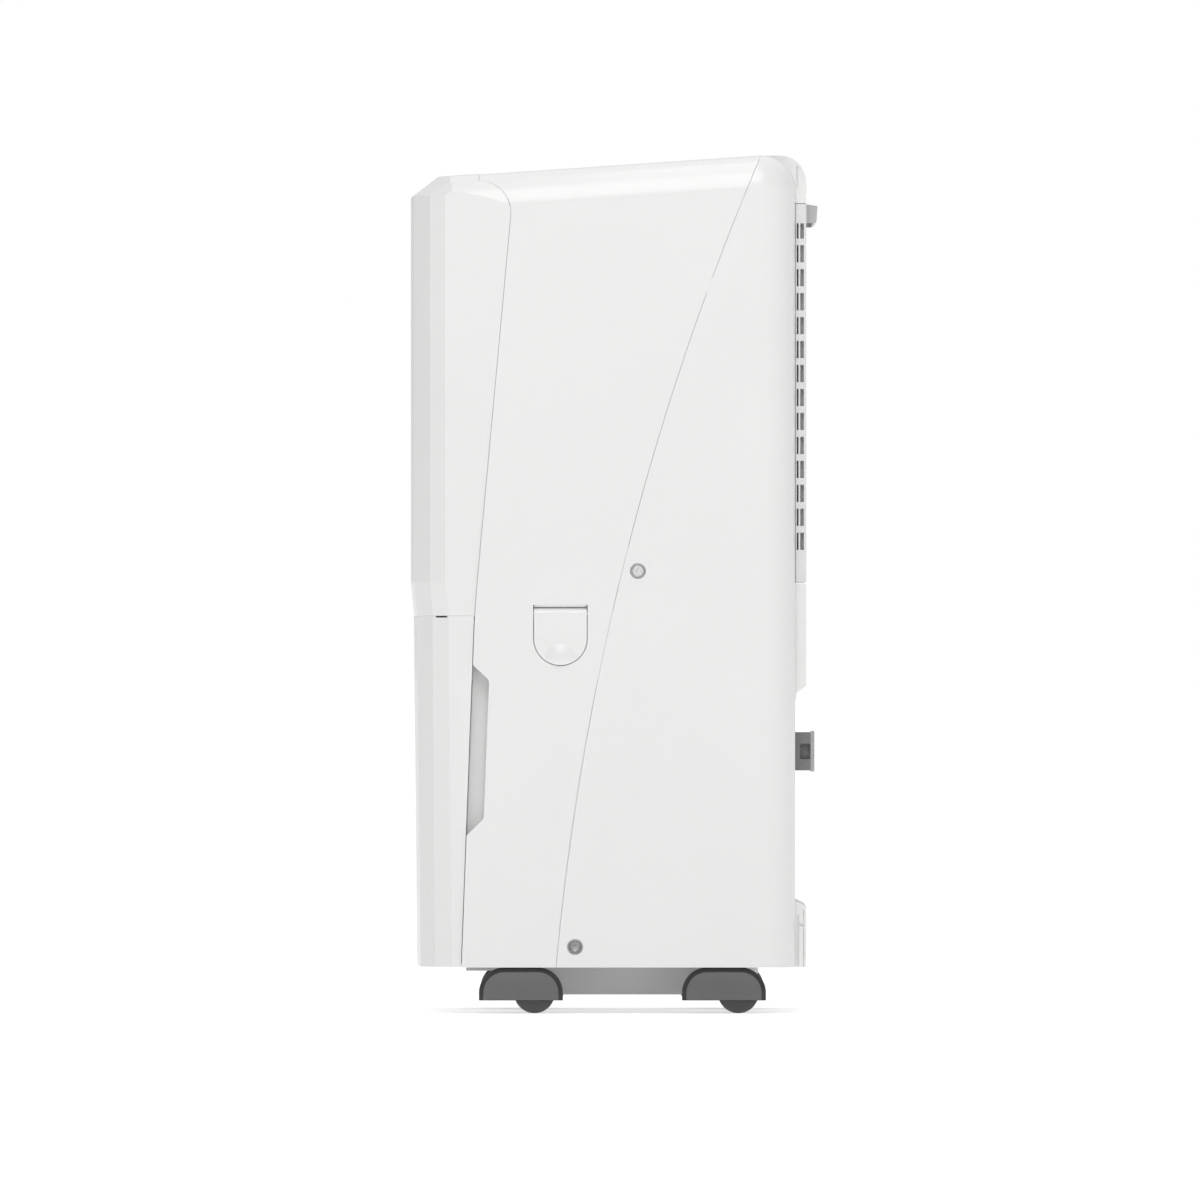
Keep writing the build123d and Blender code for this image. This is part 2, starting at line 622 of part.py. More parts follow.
# Casters: hood with stem, axle, and twin wheels, at (x sign, hood middle, swivel axis, wheel axis)
CASTER_X = 150.0
FRONT_CASTER_Y = (-66.75, -73.75, -57.0)
REAR_CASTER_Y = (79.3, 72.3, 89.6)
HOOD_LENGTH = 60.4
HOOD_WIDTH = 34.0
HOOD_LOW_Z = 9.2
HOOD_TOP_Z = 32.7
HOOD_ROUND = 18.0
HOOD_WALL = 1.8
HOOD_EDGE = 3.0
TYRE_ROUND = 1.6
WEB_HALF = 2.5
WHEEL_RADIUS = 14.8
WHEEL_IN_X = 3.1
WHEEL_OUT_X = 14.4
AXLE_RADIUS = 2.5
STEM_RADIUS = 5.0
STEM_TOP_Z = 47.6
CASTERS = {
    "front_left": (-1, FRONT_CASTER_Y),
    "front_right": (1, FRONT_CASTER_Y),
    "rear_left": (-1, REAR_CASTER_Y),
    "rear_right": (1, REAR_CASTER_Y),
}


def hood_outline(middle_y, inset, low_z):
    """Sketch the hood's side outline, drawn in by inset: flat below, round above."""
    length = HOOD_LENGTH - 2 * inset
    with Locations((middle_y, HOOD_TOP_Z - inset)):
        Rectangle(length, HOOD_TOP_Z - inset - low_z, align=(Align.CENTER, Align.MAX))
    fillet(vertices().group_by(Axis.Y)[-1], HOOD_ROUND - inset)


for corner, (side, (hood_y, swivel_y, wheel_y)) in CASTERS.items():
    middle_x = side * CASTER_X
    with BuildPart() as caster_hood:
        with BuildSketch(Plane.YZ.offset(middle_x)):
            hood_outline(hood_y, 0, HOOD_LOW_Z)
        extrude(amount=HOOD_WIDTH / 2, both=True)
        fillet(faces().filter_by(Axis.X).edges().filter_by(GeomType.LINE, reverse=True), HOOD_EDGE)
        for half in (-1, 1):
            with BuildSketch(Plane.YZ.offset(middle_x + half * WEB_HALF)):
                hood_outline(hood_y, HOOD_WALL, HOOD_LOW_Z - 1)
            extrude(amount=half * (HOOD_WIDTH / 2 - HOOD_WALL - WEB_HALF), mode=Mode.SUBTRACT)
        with Locations((middle_x, swivel_y, HOOD_TOP_Z - 1)):
            Cylinder(STEM_RADIUS, STEM_TOP_Z - HOOD_TOP_Z + 1, align=STANDING)
        with Locations(Location((middle_x, wheel_y, WHEEL_RADIUS), (0, 90, 0))):
            Cylinder(AXLE_RADIUS + PIN_CLEARANCE, 2 * WHEEL_OUT_X, mode=Mode.SUBTRACT)
    save(caster_hood, f"caster_hood_{corner}")

    with BuildPart() as caster_axle:
        with Locations(Location((middle_x, wheel_y, WHEEL_RADIUS), (0, 90, 0))):
            Cylinder(AXLE_RADIUS, 2 * WHEEL_OUT_X)
    save(caster_axle, f"caster_axle_{corner}")

    with BuildPart() as caster_wheels:
        for half in (-1, 1):
            with BuildSketch(Plane.YZ.offset(middle_x + half * WHEEL_IN_X)):
                with Locations((wheel_y, WHEEL_RADIUS)):
                    Circle(WHEEL_RADIUS)
                    Circle(AXLE_RADIUS, mode=Mode.SUBTRACT)
            extrude(amount=half * (WHEEL_OUT_X - WHEEL_IN_X))
        fillet(edges().filter_by(GeomType.CIRCLE).group_by(SortBy.RADIUS)[-1], TYRE_ROUND)
    save(caster_wheels, f"caster_wheels_{corner}")

# Base pan: plate inside the casing, hollow skirt below it, caster sockets and bucket rails
PAN_LOW_Z = 33.6
PAN_TOP_Z = 37.0
PAN_FRONT_Y = -106.4
PAN_GAP = 0.4
SKIRT_HALF = 106.0
SKIRT_FRONT_Y = -82.0
SKIRT_REAR_Y = 104.0
SKIRT_LOW_Z = 12.8
SKIRT_WALL = 3.0
LIP_LOW_Z = 30.0
SKIRT_CORNER = 14.0
CURB = (2.6, 110.0, 24.0)   # low wall along each side of the machine space
CURB_Y = 40.0
SOCKET_RADIUS = 10.0
SOCKET_TOP_Z = 48.4
RAIL_X = 100.0
RAIL_TOP_Z = 49.6
RAIL_Y = -56.0
RAIL = (10.0, 96.0, RAIL_TOP_Z - PAN_LOW_Z)
inner_half = HALF_WIDTH - WALL
pan_rear_y = REAR_Y - WALL - PAN_GAP
skirt_length = SKIRT_REAR_Y - SKIRT_FRONT_Y
with BuildPart() as base_pan:
    with BuildSketch(Plane.XY.offset(PAN_LOW_Z)):
        with Locations((0, pan_rear_y)):
            Rectangle(2 * (inner_half - PAN_GAP), pan_rear_y - PAN_FRONT_Y, align=(Align.CENTER, Align.MAX))
        fillet(vertices().group_by(Axis.Y)[-1], REAR_CORNER)
    extrude(amount=PAN_TOP_Z - PAN_LOW_Z)
    with BuildSketch(Plane.XY.offset(PAN_LOW_Z)):
        with Locations((0, (SKIRT_FRONT_Y + SKIRT_REAR_Y) / 2)):
            RectangleRounded(2 * SKIRT_HALF, skirt_length, SKIRT_CORNER)
            offset(amount=-SKIRT_WALL, mode=Mode.SUBTRACT)
    extrude(amount=SKIRT_LOW_Z - PAN_LOW_Z)
    with Locations((0, PAN_FRONT_Y, PAN_LOW_Z)):
        Box(
            2 * SKIRT_HALF,
            SKIRT_FRONT_Y - PAN_FRONT_Y + 2,
            PAN_LOW_Z - LIP_LOW_Z,
            align=(Align.CENTER, Align.MIN, Align.MAX),
        )
    for side in (-1, 1):
        with Locations((side * (inner_half - CURB[0] / 2), CURB_Y, PAN_LOW_Z)):
            Box(*CURB, align=STANDING)
        with Locations((side * RAIL_X, RAIL_Y, PAN_LOW_Z)):
            Box(*RAIL, align=STANDING)
        for hood_y, swivel_y, wheel_y in (FRONT_CASTER_Y, REAR_CASTER_Y):
            with Locations((side * CASTER_X, swivel_y, PAN_LOW_Z)):
                Cylinder(
                    SOCKET_RADIUS,
                    SOCKET_TOP_Z - PAN_LOW_Z,
                    align=STANDING,
                )
                Cylinder(STEM_RADIUS + PIN_CLEARANCE, 6 * MARGIN, mode=Mode.SUBTRACT)
save(base_pan, "base_pan")

# Bucket: faceted front with a level window, tub, lid, carrying handle and float
WINDOW_X = 13.0
WINDOW_LOW_Z = 100.0
WINDOW_HIGH_Z = 215.0
WINDOW_FIT = 0.15
RIB_X = 60.0
RIB_Z = 142.0
RIB = (3.0, 6.0, 165.0)  # spacers between the bucket front and its tub
TUB_HALF = 170.0
TUB_FRONT_Y = -134.0
TUB_REAR_Y = -6.0
TUB_LOW_Z = 50.0
TUB_TOP_Z = 236.0
TUB_WALL = 2.2
TUB_CORNER = 18.0
TUB_FOOT_ROUND = 8.0
NOTCH_Y = -123.6
NOTCH_X = 188.0
NOTCH = (20.0, 8.0, 3.0)  # finger notch in the upper edge, at each end
bucket_outer = faceted_front(BUCKET_LEVELS, 0)
bucket_inner = faceted_front(BUCKET_LEVELS, WALL)


def window_block(fit):
    """Box that cuts the level window out of the bucket front, smaller by fit all round."""
    with BuildPart() as block:
        with Locations((0, TUB_FRONT_Y - 1, (WINDOW_LOW_Z + WINDOW_HIGH_Z) / 2)):
            Box(
                2 * (WINDOW_X - fit),
                4 * MARGIN,
                WINDOW_HIGH_Z - WINDOW_LOW_Z - 2 * fit,
                align=(Align.CENTER, Align.MAX, Align.CENTER),
            )
    return block.part


window_hole = window_block(0)
window_plug = window_block(WINDOW_FIT)
with BuildPart() as bucket_front:
    add(bucket_outer)
    add(bucket_inner, mode=Mode.SUBTRACT)
    add(ahead_of_bucket_edge, mode=Mode.INTERSECT)
    add(window_hole, mode=Mode.SUBTRACT)
    for side in (-1, 1):
        with Locations((side * RIB_X, TUB_FRONT_Y, RIB_Z)):
            Box(*RIB, align=(Align.CENTER, Align.MAX, Align.CENTER))
        with Locations((side * NOTCH_X, NOTCH_Y, BUCKET_TOP_Z)):
            Box(*NOTCH, mode=Mode.SUBTRACT)
save(bucket_front, "bucket_front")

with BuildPart() as level_window:
    add(bucket_outer)
    add(bucket_inner, mode=Mode.SUBTRACT)
    add(window_plug, mode=Mode.INTERSECT)
save(level_window, "level_window")

FLOAT_X = -120.0
FLOAT_PIVOT_Y = -20.0
FLOAT_PIVOT_Z = 190.0
FLOAT_PIN_RADIUS = 2.4
FLOAT_EAR_X = 14.5
FLOAT_EAR = (3.0, 17.0, 12.0)
FLOAT_BODY = (44.0, 34.0, 24.0)
FLOAT_BODY_REACH = 41.0
FLOAT_ROUND = 4.0
FLOAT_ARM = (8.0, 27.0, 6.0)
FLOAT_ARM_REACH = 12.0
FLOAT_HUB = 4.4
tub_middle_y = (TUB_FRONT_Y + TUB_REAR_Y) / 2
tub_length = TUB_REAR_Y - TUB_FRONT_Y
with BuildPart() as bucket_tub:
    with BuildSketch(Plane.XY.offset(TUB_LOW_Z)):
        with Locations((0, tub_middle_y)):
            RectangleRounded(2 * TUB_HALF, tub_length, TUB_CORNER)
    extrude(amount=TUB_TOP_Z - TUB_LOW_Z)
    fillet(edges().group_by(Axis.Z)[0], TUB_FOOT_ROUND)
    offset(amount=-TUB_WALL, openings=faces().sort_by(Axis.Z)[-1])
    for side in (-1, 1):
        with Locations((FLOAT_X + side * FLOAT_EAR_X, TUB_REAR_Y - TUB_WALL, FLOAT_PIVOT_Z)):
            Box(*FLOAT_EAR, align=(Align.CENTER, Align.MAX, Align.CENTER))
    with Locations(Location((FLOAT_X, FLOAT_PIVOT_Y, FLOAT_PIVOT_Z), (0, 90, 0))):
        Cylinder(FLOAT_PIN_RADIUS + PIN_CLEARANCE, 6 * MARGIN, mode=Mode.SUBTRACT)
save(bucket_tub, "bucket_tub")

with BuildPart() as bucket_float:
    with Locations((FLOAT_X, FLOAT_PIVOT_Y - FLOAT_BODY_REACH, FLOAT_PIVOT_Z - 2)):
        Box(*FLOAT_BODY)
    fillet(edges(), FLOAT_ROUND)
    with Locations((FLOAT_X, FLOAT_PIVOT_Y - FLOAT_ARM_REACH, FLOAT_PIVOT_Z)):
        Box(*FLOAT_ARM)
    with Locations(Location((FLOAT_X, FLOAT_PIVOT_Y, FLOAT_PIVOT_Z), (0, 90, 0))):
        Cylinder(FLOAT_HUB, FLOAT_ARM[0])
        Cylinder(FLOAT_PIN_RADIUS, 2 * FLOAT_EAR_X + 2.6)
save(bucket_float, "bucket_float")

LID_THICK = 2.4
HANDLE_Y = -70.0
HANDLE_Z = 246.0
HANDLE_REACH = 34.0
HANDLE_ARM_X = 104.0
HANDLE_PIN_RADIUS = 3.0
HANDLE_EAR_X = 112.0
DRIP_Y = -38.0
DRIP_OPENING = (110.0, 36.0, 8.0)
HANDLE_EAR = (5.0, 14.0)
HANDLE_EAR_RISE = 6.0
HANDLE_BAR = 8.0
HANDLE_THICK = 8.4
HANDLE_ROUND = 7.0
HANDLE_EDGE = 3.0
HANDLE_PIN_LENGTH = 10.4
lid_top_z = TUB_TOP_Z + LID_THICK
with BuildPart() as bucket_lid:
    with BuildSketch(Plane.XY.offset(TUB_TOP_Z)):
        with Locations((0, tub_middle_y)):
            RectangleRounded(2 * TUB_HALF, tub_length, TUB_CORNER)
        with Locations((0, DRIP_Y)):
            RectangleRounded(*DRIP_OPENING, mode=Mode.SUBTRACT)
    extrude(amount=LID_THICK)
    for side in (-1, 1):
        with Locations((side * HANDLE_EAR_X, HANDLE_Y, TUB_TOP_Z + 1)):
            Box(*HANDLE_EAR, HANDLE_Z - TUB_TOP_Z + HANDLE_EAR_RISE, align=STANDING)
    with Locations(Location((0, HANDLE_Y, HANDLE_Z), (0, 90, 0))):
        Cylinder(HANDLE_PIN_RADIUS + PIN_CLEARANCE, REACH, mode=Mode.SUBTRACT)
save(bucket_lid, "bucket_lid")

with BuildPart() as bucket_handle:
    with BuildSketch(Plane.XY.offset(HANDLE_Z)):
        with Locations((0, HANDLE_Y + (HANDLE_REACH + 1) / 2)):
            RectangleRounded(2 * HANDLE_ARM_X + HANDLE_BAR, HANDLE_REACH + HANDLE_BAR + 1, HANDLE_ROUND)
        with Locations((0, HANDLE_Y - 6)):
            Rectangle(
                2 * HANDLE_ARM_X - HANDLE_BAR,
                HANDLE_REACH,
                align=(Align.CENTER, Align.MIN),
                mode=Mode.SUBTRACT,
            )
    extrude(amount=HANDLE_THICK / 2, both=True)
    fillet(edges().filter_by(Axis.X).group_by(Axis.Y)[-1], HANDLE_EDGE)
    with Locations(Location((0, HANDLE_Y, HANDLE_Z), (0, 90, 0))):
        for side in (-1, 1):
            with Locations((0, 0, side * (HANDLE_ARM_X + HANDLE_PIN_LENGTH / 2))):
                Cylinder(HANDLE_PIN_RADIUS, HANDLE_PIN_LENGTH)
save(bucket_handle, "bucket_handle")

# Partition behind the bucket, with the sensor that reads the float
PARTITION_HALF = 190.0
PARTITION_THICK = 2.5
PARTITION_RIB = (3.0, 4.0, 200.0)
PARTITION_RIBS = (120.0, 0, 3, 1)
SENSOR = (26.0, 3.6, 12.0)
SENSOR_ROUND = 2.0
DRAIN_LOW_Z = 290.0
with BuildPart() as partition:
    with Locations((0, 0, PAN_TOP_Z)):
        Box(
            2 * PARTITION_HALF,
            PARTITION_THICK,
            DRAIN_LOW_Z - PAN_TOP_Z,
            align=(Align.CENTER, Align.MIN, Align.MIN),
        )
    with Locations((0, PARTITION_THICK, (PAN_TOP_Z + DRAIN_LOW_Z) / 2)):
        with GridLocations(*PARTITION_RIBS):
            Box(*PARTITION_RIB, align=(Align.CENTER, Align.MIN, Align.CENTER))
save(partition, "partition")

with BuildPart() as bucket_sensor:
    with Locations((FLOAT_X, 0, FLOAT_PIVOT_Z)):
        Box(*SENSOR, align=(Align.CENTER, Align.MAX, Align.CENTER))
    fillet(edges().filter_by(Axis.Y), SENSOR_ROUND)
save(bucket_sensor, "bucket_sensor")

# Drain pan under the coils, draining into the bucket and to the hose spigot behind the flap
DRAIN_HALF = 160.0
DRAIN_FRONT_Y = -66.0
DRAIN_REAR_Y = 124.0
DRAIN_RIM_Z = 310.0
DRAIN_WALL = 2.0
COIL_STAND = (4.0, 46.0)
COIL_STAND_X = 100.0
DRIP_SPOUT = 9.0
DRIP_SPOUT_DROP = 3.0
DRIP_BORE = 6.5
SPIGOT_X = 150.0
SPIGOT_TIP_X = 186.5
SPIGOT_SHOULDER_X = 163.0
SPIGOT_COLLAR = 10.5
SPIGOT_Z = 268.0
SPIGOT_RADIUS = 8.0
SPIGOT_BORE = 6.0
SPIGOT_DRUM = 9.0
SPIGOT_SUMP = 10.0       # drum below the spigot's axis
COIL_LOW_Z = 316.0
COIL_TOP_Z = 576.0
EVAPORATOR_Y = 109.0
CONDENSER_Y = 83.0
COIL_DEPTH = 22.0
drain_length = DRAIN_REAR_Y - DRAIN_FRONT_Y
drain_floor_z = DRAIN_LOW_Z + DRAIN_WALL
with BuildPart() as drain_pan:
    with Locations((0, DRAIN_FRONT_Y, DRAIN_LOW_Z)):
        Box(
            2 * DRAIN_HALF,
            drain_length,
            DRAIN_RIM_Z - DRAIN_LOW_Z,
            align=(Align.CENTER, Align.MIN, Align.MIN),
        )
    with Locations((0, DRAIN_FRONT_Y + DRAIN_WALL, drain_floor_z)):
        Box(
            2 * (DRAIN_HALF - DRAIN_WALL),
            drain_length - 2 * DRAIN_WALL,
            4 * MARGIN,
            align=(Align.CENTER, Align.MIN, Align.MIN),
            mode=Mode.SUBTRACT,
        )
    for side in (-1, 1):
        with Locations((side * COIL_STAND_X, (EVAPORATOR_Y + CONDENSER_Y) / 2, DRAIN_LOW_Z)):
            Box(*COIL_STAND, COIL_LOW_Z - DRAIN_LOW_Z, align=STANDING)
    with Locations((0, DRIP_Y, DRAIN_LOW_Z - DRIP_SPOUT_DROP)):
        Cylinder(DRIP_SPOUT, DRIP_SPOUT_DROP + DRAIN_WALL, align=STANDING)
        Cylinder(DRIP_BORE, 4 * MARGIN, mode=Mode.SUBTRACT)
    with Locations((SPIGOT_X, FLAP_Y, DRAIN_LOW_Z)):
        Cylinder(SPIGOT_BORE, 2 * MARGIN, mode=Mode.SUBTRACT)
save(drain_pan, "drain_pan")

with BuildPart() as drain_spigot:
    with Locations((SPIGOT_X, FLAP_Y, SPIGOT_Z - SPIGOT_SUMP)):
        Cylinder(SPIGOT_DRUM, DRAIN_LOW_Z - SPIGOT_Z + SPIGOT_SUMP, align=STANDING)
    for radius, end_x in ((SPIGOT_COLLAR, SPIGOT_SHOULDER_X), (SPIGOT_RADIUS, SPIGOT_TIP_X)):
        with BuildSketch(Plane.YZ.offset(SPIGOT_X)):
            with Locations((FLAP_Y, SPIGOT_Z)):
                Circle(radius)
        extrude(amount=end_x - SPIGOT_X)
    with Locations((SPIGOT_X, FLAP_Y, SPIGOT_Z)):
        Cylinder(SPIGOT_BORE, 6 * MARGIN, align=STANDING, mode=Mode.SUBTRACT)
    with BuildSketch(Plane.YZ.offset(SPIGOT_X)):
        with Locations((FLAP_Y, SPIGOT_Z)):
            Circle(SPIGOT_BORE)
    extrude(amount=6 * MARGIN, mode=Mode.SUBTRACT)
save(drain_spigot, "drain_spigot")

# Coils: finned cores with end plates and return bends
COIL_HALF = 140.0
FIN_PITCH = 5.0
FIN_COUNT = 56
FIN_THICK = 0.8
CORE_WEB = 4.0
END_PLATE = 1.5
BEND_RADIUS = 12.0
BEND_TUBE = 4.0
BENDS = 5
BEND_PITCH = 48.0


def bend_planes(coil_y):
    """Places of a coil's return bends, on both of its end plates."""
    middle_z = (COIL_LOW_Z + COIL_TOP_Z) / 2
    first_z = middle_z - (BENDS - 1) / 2 * BEND_PITCH
    return [
        Plane(
            origin=(side * (COIL_HALF + END_PLATE), coil_y, first_z + bend * BEND_PITCH),
            x_dir=(0, 0, 1),
            z_dir=(0, side, 0),
        )
        for side in (-1, 1)
        for bend in range(BENDS)
    ]


for coil_name, coil_y in (("evaporator", EVAPORATOR_Y), ("condenser", CONDENSER_Y)):
    with BuildPart() as coil:
        with BuildSketch(Plane.XY.offset(COIL_LOW_Z)):
            with Locations((0, coil_y)):
                Rectangle(2 * COIL_HALF, CORE_WEB)
                with GridLocations(FIN_PITCH, 0, FIN_COUNT, 1):
                    Rectangle(FIN_THICK, COIL_DEPTH)
                with GridLocations(2 * COIL_HALF + END_PLATE, 0, 2, 1):
                    Rectangle(END_PLATE, COIL_DEPTH)
        extrude(amount=COIL_TOP_Z - COIL_LOW_Z)
        with Locations(*bend_planes(coil_y)):
            Torus(BEND_RADIUS, BEND_TUBE, major_angle=180)
    save(coil, coil_name)

# Compressor on rubber mounts, and its run capacitor
COMPRESSOR_X = 70.0
COMPRESSOR_Y = 66.0
COMPRESSOR_RADIUS = 57.0
COMPRESSOR_LOW_Z = 52.0
COMPRESSOR_TOP_Z = 226.0
DOME = 26.0
FOOT_THICK = 3.0
MOUNT_CIRCLE = 54.0
MOUNT_RADIUS = 8.0
FOOT_DISC = 34.0
FOOT_EYE = 9.0
FOOT_ARM = 16.0
MOTOR_SPACE = (46.0, 106.0)   # hollow inside the shell, radius and height
MOTOR_SPACE_LIFT = 34.0
CAPACITOR_X = -80.0
CAPACITOR = (22.0, 92.0)
CAPACITOR_ROUND = 3.0
with BuildPart() as compressor:
    with Locations((COMPRESSOR_X, COMPRESSOR_Y, COMPRESSOR_LOW_Z)):
        Cylinder(
            COMPRESSOR_RADIUS,
            COMPRESSOR_TOP_Z - COMPRESSOR_LOW_Z,
            align=STANDING,
        )
    fillet(edges().filter_by(GeomType.CIRCLE), DOME)
    with BuildSketch(Plane.XY.offset(COMPRESSOR_LOW_Z - FOOT_THICK)):
        with Locations((COMPRESSOR_X, COMPRESSOR_Y)):
            Circle(FOOT_DISC)
            with PolarLocations(MOUNT_CIRCLE, 3):
                Circle(FOOT_EYE)
            with PolarLocations(MOUNT_CIRCLE / 2, 3):
                Rectangle(MOUNT_CIRCLE, FOOT_ARM)
    extrude(amount=FOOT_THICK + 1)
    with Locations((COMPRESSOR_X, COMPRESSOR_Y, COMPRESSOR_LOW_Z + MOTOR_SPACE_LIFT)):
        Cylinder(*MOTOR_SPACE, align=STANDING, mode=Mode.SUBTRACT)
save(compressor, "compressor")

with BuildPart() as compressor_mounts:
    with BuildSketch(Plane.XY.offset(PAN_TOP_Z)):
        with Locations((COMPRESSOR_X, COMPRESSOR_Y)):
            with PolarLocations(MOUNT_CIRCLE, 3):
                Circle(MOUNT_RADIUS)
    extrude(amount=COMPRESSOR_LOW_Z - FOOT_THICK - PAN_TOP_Z)
save(compressor_mounts, "compressor_mounts")

with BuildPart() as run_capacitor:
    with Locations((CAPACITOR_X, COMPRESSOR_Y, PAN_TOP_Z)):
        Cylinder(*CAPACITOR, align=STANDING)
    fillet(edges().group_by(Axis.Z)[-1], CAPACITOR_ROUND)
save(run_capacitor, "run_capacitor")


def bent_pipe(points, radius, bend):
    """Round pipe along straight runs joined by bends of one radius."""
    with BuildPart() as pipe:
        with BuildLine() as route:
            FilletPolyline(*points, radius=bend)
        start = Vector(*points[0])
        with BuildSketch(Plane(origin=start, z_dir=Vector(*points[1]) - start)):
            Circle(radius)
        sweep(path=route.line)
    return pipe


# Refrigerant lines, outside the ends of the drain pan
LINE_X = 173.0
LINE_RADIUS = 4.5
LINE_BEND = 11.0
PORT_Z = 262.0
CAPILLARY_RADIUS = 1.5
CAPILLARY_BEND = 8.0
coil_end_x = COIL_HALF + END_PLATE
suction_pipe = bent_pipe(
    [
        (coil_end_x, EVAPORATOR_Y, COIL_LOW_Z + 8),
        (LINE_X, EVAPORATOR_Y, COIL_LOW_Z + 8),
        (LINE_X, EVAPORATOR_Y, PORT_Z),
        (COMPRESSOR_X + 18, COMPRESSOR_Y + 12, PORT_Z),
        (COMPRESSOR_X + 18, COMPRESSOR_Y + 12, COMPRESSOR_TOP_Z),
    ],
    LINE_RADIUS,
    LINE_BEND,
)
save(suction_pipe, "suction_pipe")
discharge_pipe = bent_pipe(
    [
        (coil_end_x, CONDENSER_Y, COIL_LOW_Z + 8),
        (LINE_X, CONDENSER_Y, COIL_LOW_Z + 8),
        (LINE_X, CONDENSER_Y - 30, PORT_Z - 18),
        (COMPRESSOR_X - 14, COMPRESSOR_Y - 16, PORT_Z - 18),
        (COMPRESSOR_X - 14, COMPRESSOR_Y - 16, COMPRESSOR_TOP_Z),
    ],
    LINE_RADIUS - 1,
    LINE_BEND,
)
save(discharge_pipe, "discharge_pipe")
capillary_tube = bent_pipe(
    [
        (-coil_end_x, CONDENSER_Y, COIL_LOW_Z + 8),
        (-LINE_X, CONDENSER_Y, COIL_LOW_Z + 8),
        (-LINE_X, CONDENSER_Y, COIL_LOW_Z + 90),
        (-LINE_X, EVAPORATOR_Y, COIL_LOW_Z + 60),
        (-LINE_X, EVAPORATOR_Y, COIL_LOW_Z + 8),
        (-coil_end_x, EVAPORATOR_Y, COIL_LOW_Z + 8),
    ],
    CAPILLARY_RADIUS,
    CAPILLARY_BEND,
)
save(capillary_tube, "capillary_tube")

# Fan: scroll with an inlet behind and its outlet under the top grille, wheel and motor
FAN_X = -10.0
FAN_Z = 440.0
SCROLL_RADIUS = 104.0
SCROLL_FRONT_Y = 6.0
SCROLL_REAR_Y = 67.0
SCROLL_WALL = 2.0
THROAT_HALF = 120.0      # the throat flares to this half width under the grille
THROAT_FLARE_Z = 570.0
TONGUE_X = -34.0         # cut-off of the scroll
TONGUE_Z = 540.0
THROAT_TOP_Z = 640.0
INLET_RADIUS = 66.0
WHEEL_FRONT_Y = 12.0
WHEEL_REAR_Y = 62.0
BLOWER_RADIUS = 86.0
BLADES = 36
SHAFT_RADIUS = 4.0
MOTOR_RADIUS = 42.0
MOTOR_LENGTH = 40.0
MOTOR_ROUND = 6.0
MOTOR_HOLE = 10.0
SCROLL_STAND = (60.0, 30.0)
SCROLL_STAND_Y = 35.0
DISC_THICK = 2.0         # wheel's back disc and front ring
HUB_RADIUS = 13.0
HUB_LENGTH = 26.0
BLADE = (15.0, 1.4)
BLADE_TURN = 35.0
BLADE_INSET = 9.5
RING_WIDTH = 19.0
insert_depth = WALL + FLANGE_THICK
with BuildPart() as fan_scroll:
    for inset, mode in ((0, Mode.ADD), (SCROLL_WALL, Mode.SUBTRACT)):
        with BuildSketch(Plane.XZ.offset(-SCROLL_REAR_Y + inset)):
            with Locations((FAN_X, FAN_Z)):
                Circle(SCROLL_RADIUS - inset)
            with BuildLine():
                Polyline(
                    (FAN_X + SCROLL_RADIUS - inset - 2, FAN_Z),
                    (THROAT_HALF - inset, THROAT_FLARE_Z),
                    (THROAT_HALF - inset, THROAT_TOP_Z),
                    (-THROAT_HALF + inset, THROAT_TOP_Z),
                    (-THROAT_HALF + inset, TONGUE_Z + 48 + inset),
                    (TONGUE_X + inset, TONGUE_Z + inset),
                    (TONGUE_X + 20, FAN_Z),
                    close=True,
                )
            make_face()
        extrude(amount=SCROLL_REAR_Y - SCROLL_FRONT_Y - 2 * inset, mode=mode)
    split(bisect_by=top_plane(OUTLET_Y, insert_depth), keep=Keep.BOTTOM)
    with Locations(Location((FAN_X, SCROLL_REAR_Y, FAN_Z), (90, 0, 0))):
        Cylinder(INLET_RADIUS, MARGIN, mode=Mode.SUBTRACT)
    with Locations(Location((FAN_X, SCROLL_FRONT_Y, FAN_Z), (90, 0, 0))):
        Cylinder(MOTOR_HOLE, MARGIN, mode=Mode.SUBTRACT)
    with Locations((FAN_X, SCROLL_STAND_Y, drain_floor_z)):
        Box(
            *SCROLL_STAND,
            FAN_Z - SCROLL_RADIUS + 1 - drain_floor_z,
            align=STANDING,
        )
save(fan_scroll, "fan_scroll")

with BuildPart() as blower_wheel:
    with BuildSketch(Plane.XZ.offset(-WHEEL_FRONT_Y)):
        with Locations((FAN_X, FAN_Z)):
            Circle(BLOWER_RADIUS)
    extrude(amount=-DISC_THICK)
    with BuildSketch(Plane.XZ.offset(-WHEEL_FRONT_Y - DISC_THICK)):
        with Locations((FAN_X, FAN_Z)):
            Circle(HUB_RADIUS)
    extrude(amount=-HUB_LENGTH)
    with BuildSketch(Plane.XZ.offset(-WHEEL_FRONT_Y - DISC_THICK)):
        with Locations((FAN_X, FAN_Z)):
            with PolarLocations(BLOWER_RADIUS - BLADE_INSET, BLADES):
                Rectangle(*BLADE, rotation=BLADE_TURN)
    extrude(amount=-(WHEEL_REAR_Y - WHEEL_FRONT_Y - 2 * DISC_THICK))
    with BuildSketch(Plane.XZ.offset(-WHEEL_REAR_Y + DISC_THICK)):
        with Locations((FAN_X, FAN_Z)):
            Circle(BLOWER_RADIUS)
            Circle(BLOWER_RADIUS - RING_WIDTH, mode=Mode.SUBTRACT)
    extrude(amount=-DISC_THICK)
    with Locations(Location((FAN_X, WHEEL_FRONT_Y, FAN_Z), (90, 0, 0))):
        Cylinder(SHAFT_RADIUS + PIN_CLEARANCE, REACH, mode=Mode.SUBTRACT)
save(blower_wheel, "blower_wheel")

